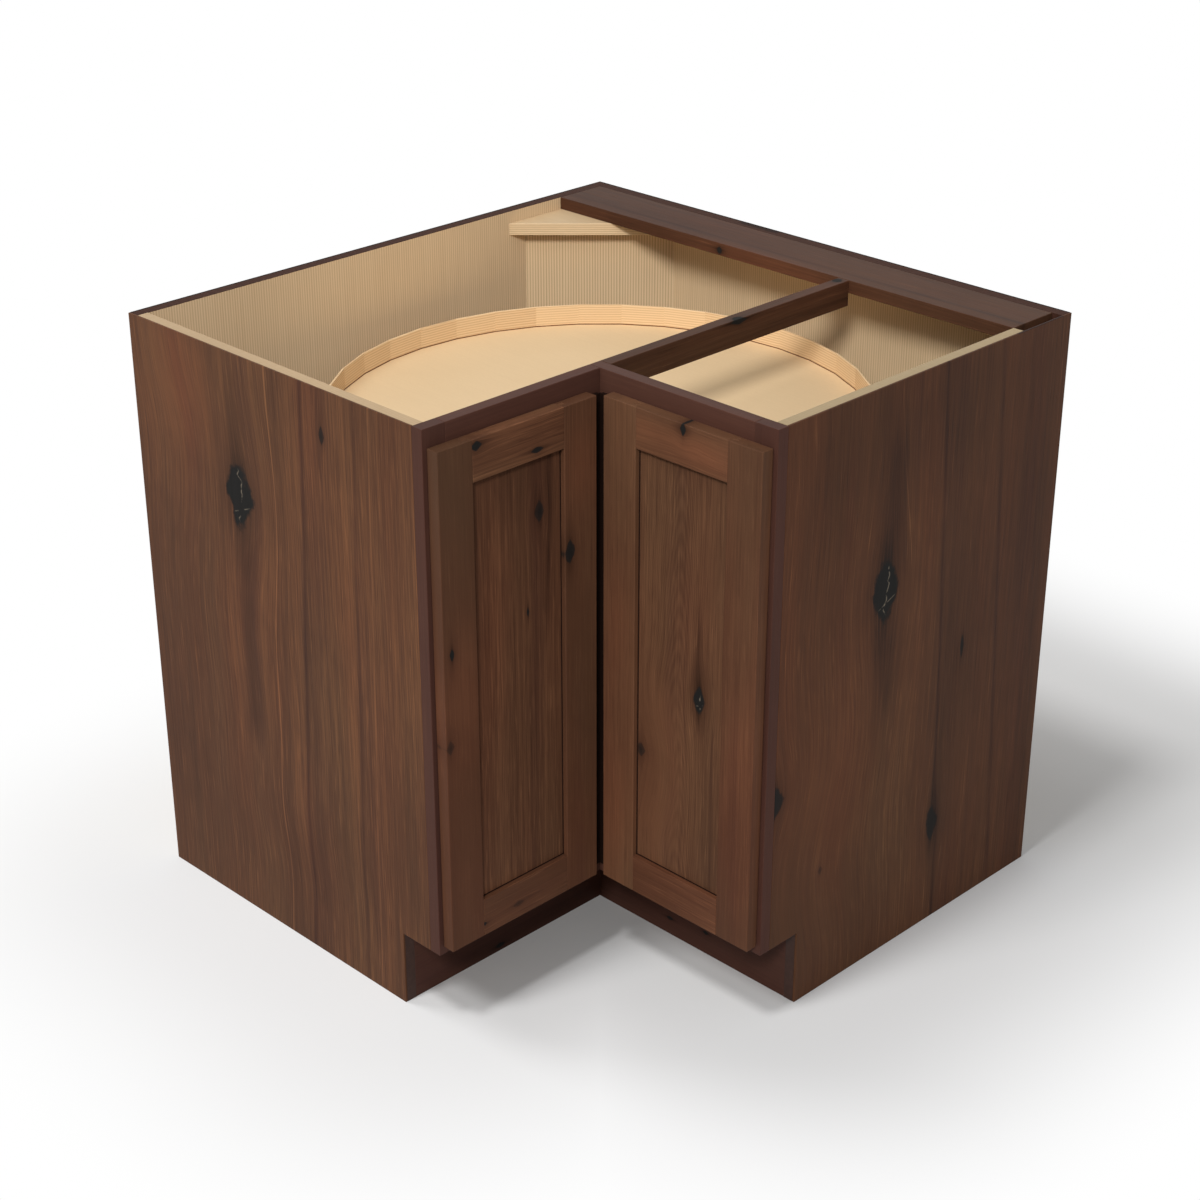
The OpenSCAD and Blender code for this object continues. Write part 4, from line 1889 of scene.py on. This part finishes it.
@dataclass(frozen=True)
class PaleFloor(Finish):
    """Plain pale studio floor that keeps the cabinet's shadow."""

    seen: float = 0.62
    thrown: float = 0.50
    glow: float = 0.125
    legs: tuple[tuple[float, float, float, float], ...] = (
        (-0.40, 0.05, -0.40, 0.85),
        (-0.40, 0.40, -0.05, 0.85),
    )
    fade: tuple[float, float] = (0.14, 0.60)

    def material(self) -> bpy.types.Material:
        """The floor as the camera sees it, and as it throws light back."""
        made = bpy.data.materials.new(self.name)
        made.use_nodes = True
        graph = Graph(made.node_tree)
        looked = graph.looked_at()
        plain = graph.node(
            "ShaderNodeBsdfDiffuse", inputs={"Color": (self.thrown,) * 3 + (1.0,)}
        )
        bright = graph.node(
            "ShaderNodeBsdfPrincipled",
            inputs={
                "Base Color": (self.seen,) * 3 + (1.0,),
                "Roughness": 0.9,
                "Specular IOR Level": 0.0,
                "Emission Color": (1.0, 1.0, 1.0, 1.0),
                "Emission Strength": self.glow,
            },
        )
        white = graph.node("ShaderNodeEmission", inputs={"Color": (1.0, 1.0, 1.0, 1.0)})
        place = graph.place()
        reach = []
        for x0, x1, y0, y1 in self.legs:
            ax, ay = (
                (low - at).math("MAXIMUM", at - high).math("MAXIMUM", 0.0)
                for low, high, at in ((x0, x1, place[0]), (y0, y1, place[1]))
            )
            reach.append((ax * ax + ay * ay).math("SQRT"))
        away = reach[0].math("MINIMUM", reach[1]).step(self.fade[0], self.fade[1])
        shown = graph.node(
            "ShaderNodeMixShader",
            inputs={0: away, 1: bright.outputs[0], 2: white.outputs[0]},
        )
        both = graph.node(
            "ShaderNodeMixShader",
            inputs={0: looked, 1: plain.outputs[0], 2: shown.outputs[0]},
        )
        graph.node("ShaderNodeOutputMaterial", inputs={"Surface": both.outputs[0]})
        return made


@dataclass
class Lamp:
    """A soft round lamp; its level is the light that a face square to it gets."""

    name: str
    towards: tuple[float, float, float]
    size: float
    level: float
    floor_only: bool = False
    spares_floor: bool = False


@dataclass
class Studio:
    """Floor, world, lamps and camera."""

    aim: tuple[float, float, float] = (0.0, 0.0, 0.4)
    eye: tuple[float, float, float] = (2.16105, -2.16105, 1.93062)
    pitch: float = 90 - 26.03
    turn: float = 45.0
    lens: float = 70.253
    distance: float = 12.0
    dome: float = 0.32
    lamps: tuple[Lamp, ...] = (
        Lamp("floor_key", (0.03, -0.42, 1.0), 2.0, 0.405, floor_only=True),
        Lamp("floor_low", (-0.1, -0.80, 1.0), 2.6, 0.36, floor_only=True),
        Lamp("floor_wide", (-1.0, -0.42, 1.0), 5.0, 0.36, floor_only=True),
        Lamp("front_key", (0.92, -1.24, 1.25), 2.3, 0.60, spares_floor=True),
        Lamp("top_wide", (-0.1, -0.7, 1.0), 10.0, 0.36, spares_floor=True),
    )

    def build(self) -> None:
        """Makes the floor, the world, the lamps and the camera."""
        mesh = bpy.data.meshes.new("studio_floor")
        half = 30.0
        mesh.from_pydata(
            [(-half, -half, 0), (half, -half, 0), (half, half, 0), (-half, half, 0)],
            [],
            [(0, 1, 2, 3)],
        )
        floor = Workshop.object_from("studio_floor", mesh, PaleFloor("pale_floor"))
        world = bpy.data.worlds.new("studio")
        bpy.context.scene.world = world
        world.use_nodes = True
        graph = Graph(world.node_tree)
        strength = graph.looked_at() * (1.0 - self.dome) + self.dome
        sky = graph.node(
            "ShaderNodeBackground", inputs={"Color": (1, 1, 1, 1), "Strength": strength}
        )
        graph.node("ShaderNodeOutputWorld", inputs={"Surface": sky.outputs[0]})
        groups = self.light_groups(floor)
        for lamp in self.lamps:
            self.hang(lamp, groups)
        self.set_camera()

    def light_groups(self, floor: bpy.types.Object) -> dict[str, bpy.types.Collection]:
        """The floor alone, and all but the floor, as receivers for lamps.

        Args:
            floor: The studio floor.

        Returns:
            The two collections by name.
        """
        groups = {}
        for name in ("floor_receiver", "cabinet_receiver"):
            groups[name] = bpy.data.collections.new(name)
            groups[name].objects.link(floor)
        groups["cabinet_receiver"].collection_objects[0].light_linking.link_state = "EXCLUDE"
        return groups

    def hang(self, lamp: Lamp, groups: Mapping[str, bpy.types.Collection]) -> None:
        """Hangs one lamp and turns it to the cabinet.

        Args:
            lamp: The lamp.
            groups: The receivers.
        """
        data = bpy.data.lights.new(lamp.name, "AREA")
        data.shape = "DISK"
        data.size = lamp.size
        data.energy = lamp.level * (math.pi * self.distance) ** 2
        made = bpy.data.objects.new(lamp.name, data)
        bpy.context.scene.collection.objects.link(made)
        way = Vector(lamp.towards).normalized()
        made.location = Vector(self.aim) + way * self.distance
        made.rotation_euler = way.to_track_quat("Z", "Y").to_euler()
        if lamp.floor_only:
            made.light_linking.receiver_collection = groups["floor_receiver"]
        if lamp.spares_floor:
            made.light_linking.receiver_collection = groups["cabinet_receiver"]
        LOG.info("lamp %s hangs", lamp.name)

    def set_camera(self) -> None:
        """Sets the camera that was fitted to the photograph's corners."""
        data = bpy.data.cameras.new("camera")
        data.lens = self.lens
        data.sensor_width = 36.0
        data.clip_end = 100.0
        camera = bpy.data.objects.new("camera", data)
        bpy.context.scene.collection.objects.link(camera)
        camera.location = self.eye
        camera.rotation_euler = (math.radians(self.pitch), 0.0, math.radians(self.turn))
        bpy.context.scene.camera = camera
        bpy.context.scene.view_settings.view_transform = "Standard"


def main() -> None:
    """Builds each sub-assembly in order."""
    logging.basicConfig(level=logging.INFO, format="%(name)s: %(message)s")
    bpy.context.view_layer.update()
    screws = ScrewMaker()
    Carcass().build()
    TopBoards().build()
    FaceFrame().build()
    left_door().build()
    right_door().build()
    Hinges().build(screws)
    Carousel().build(screws)
    screws.clear()
    Studio().build()
    LOG.info("all pieces are built")


if __name__ == "__main__":
    main()
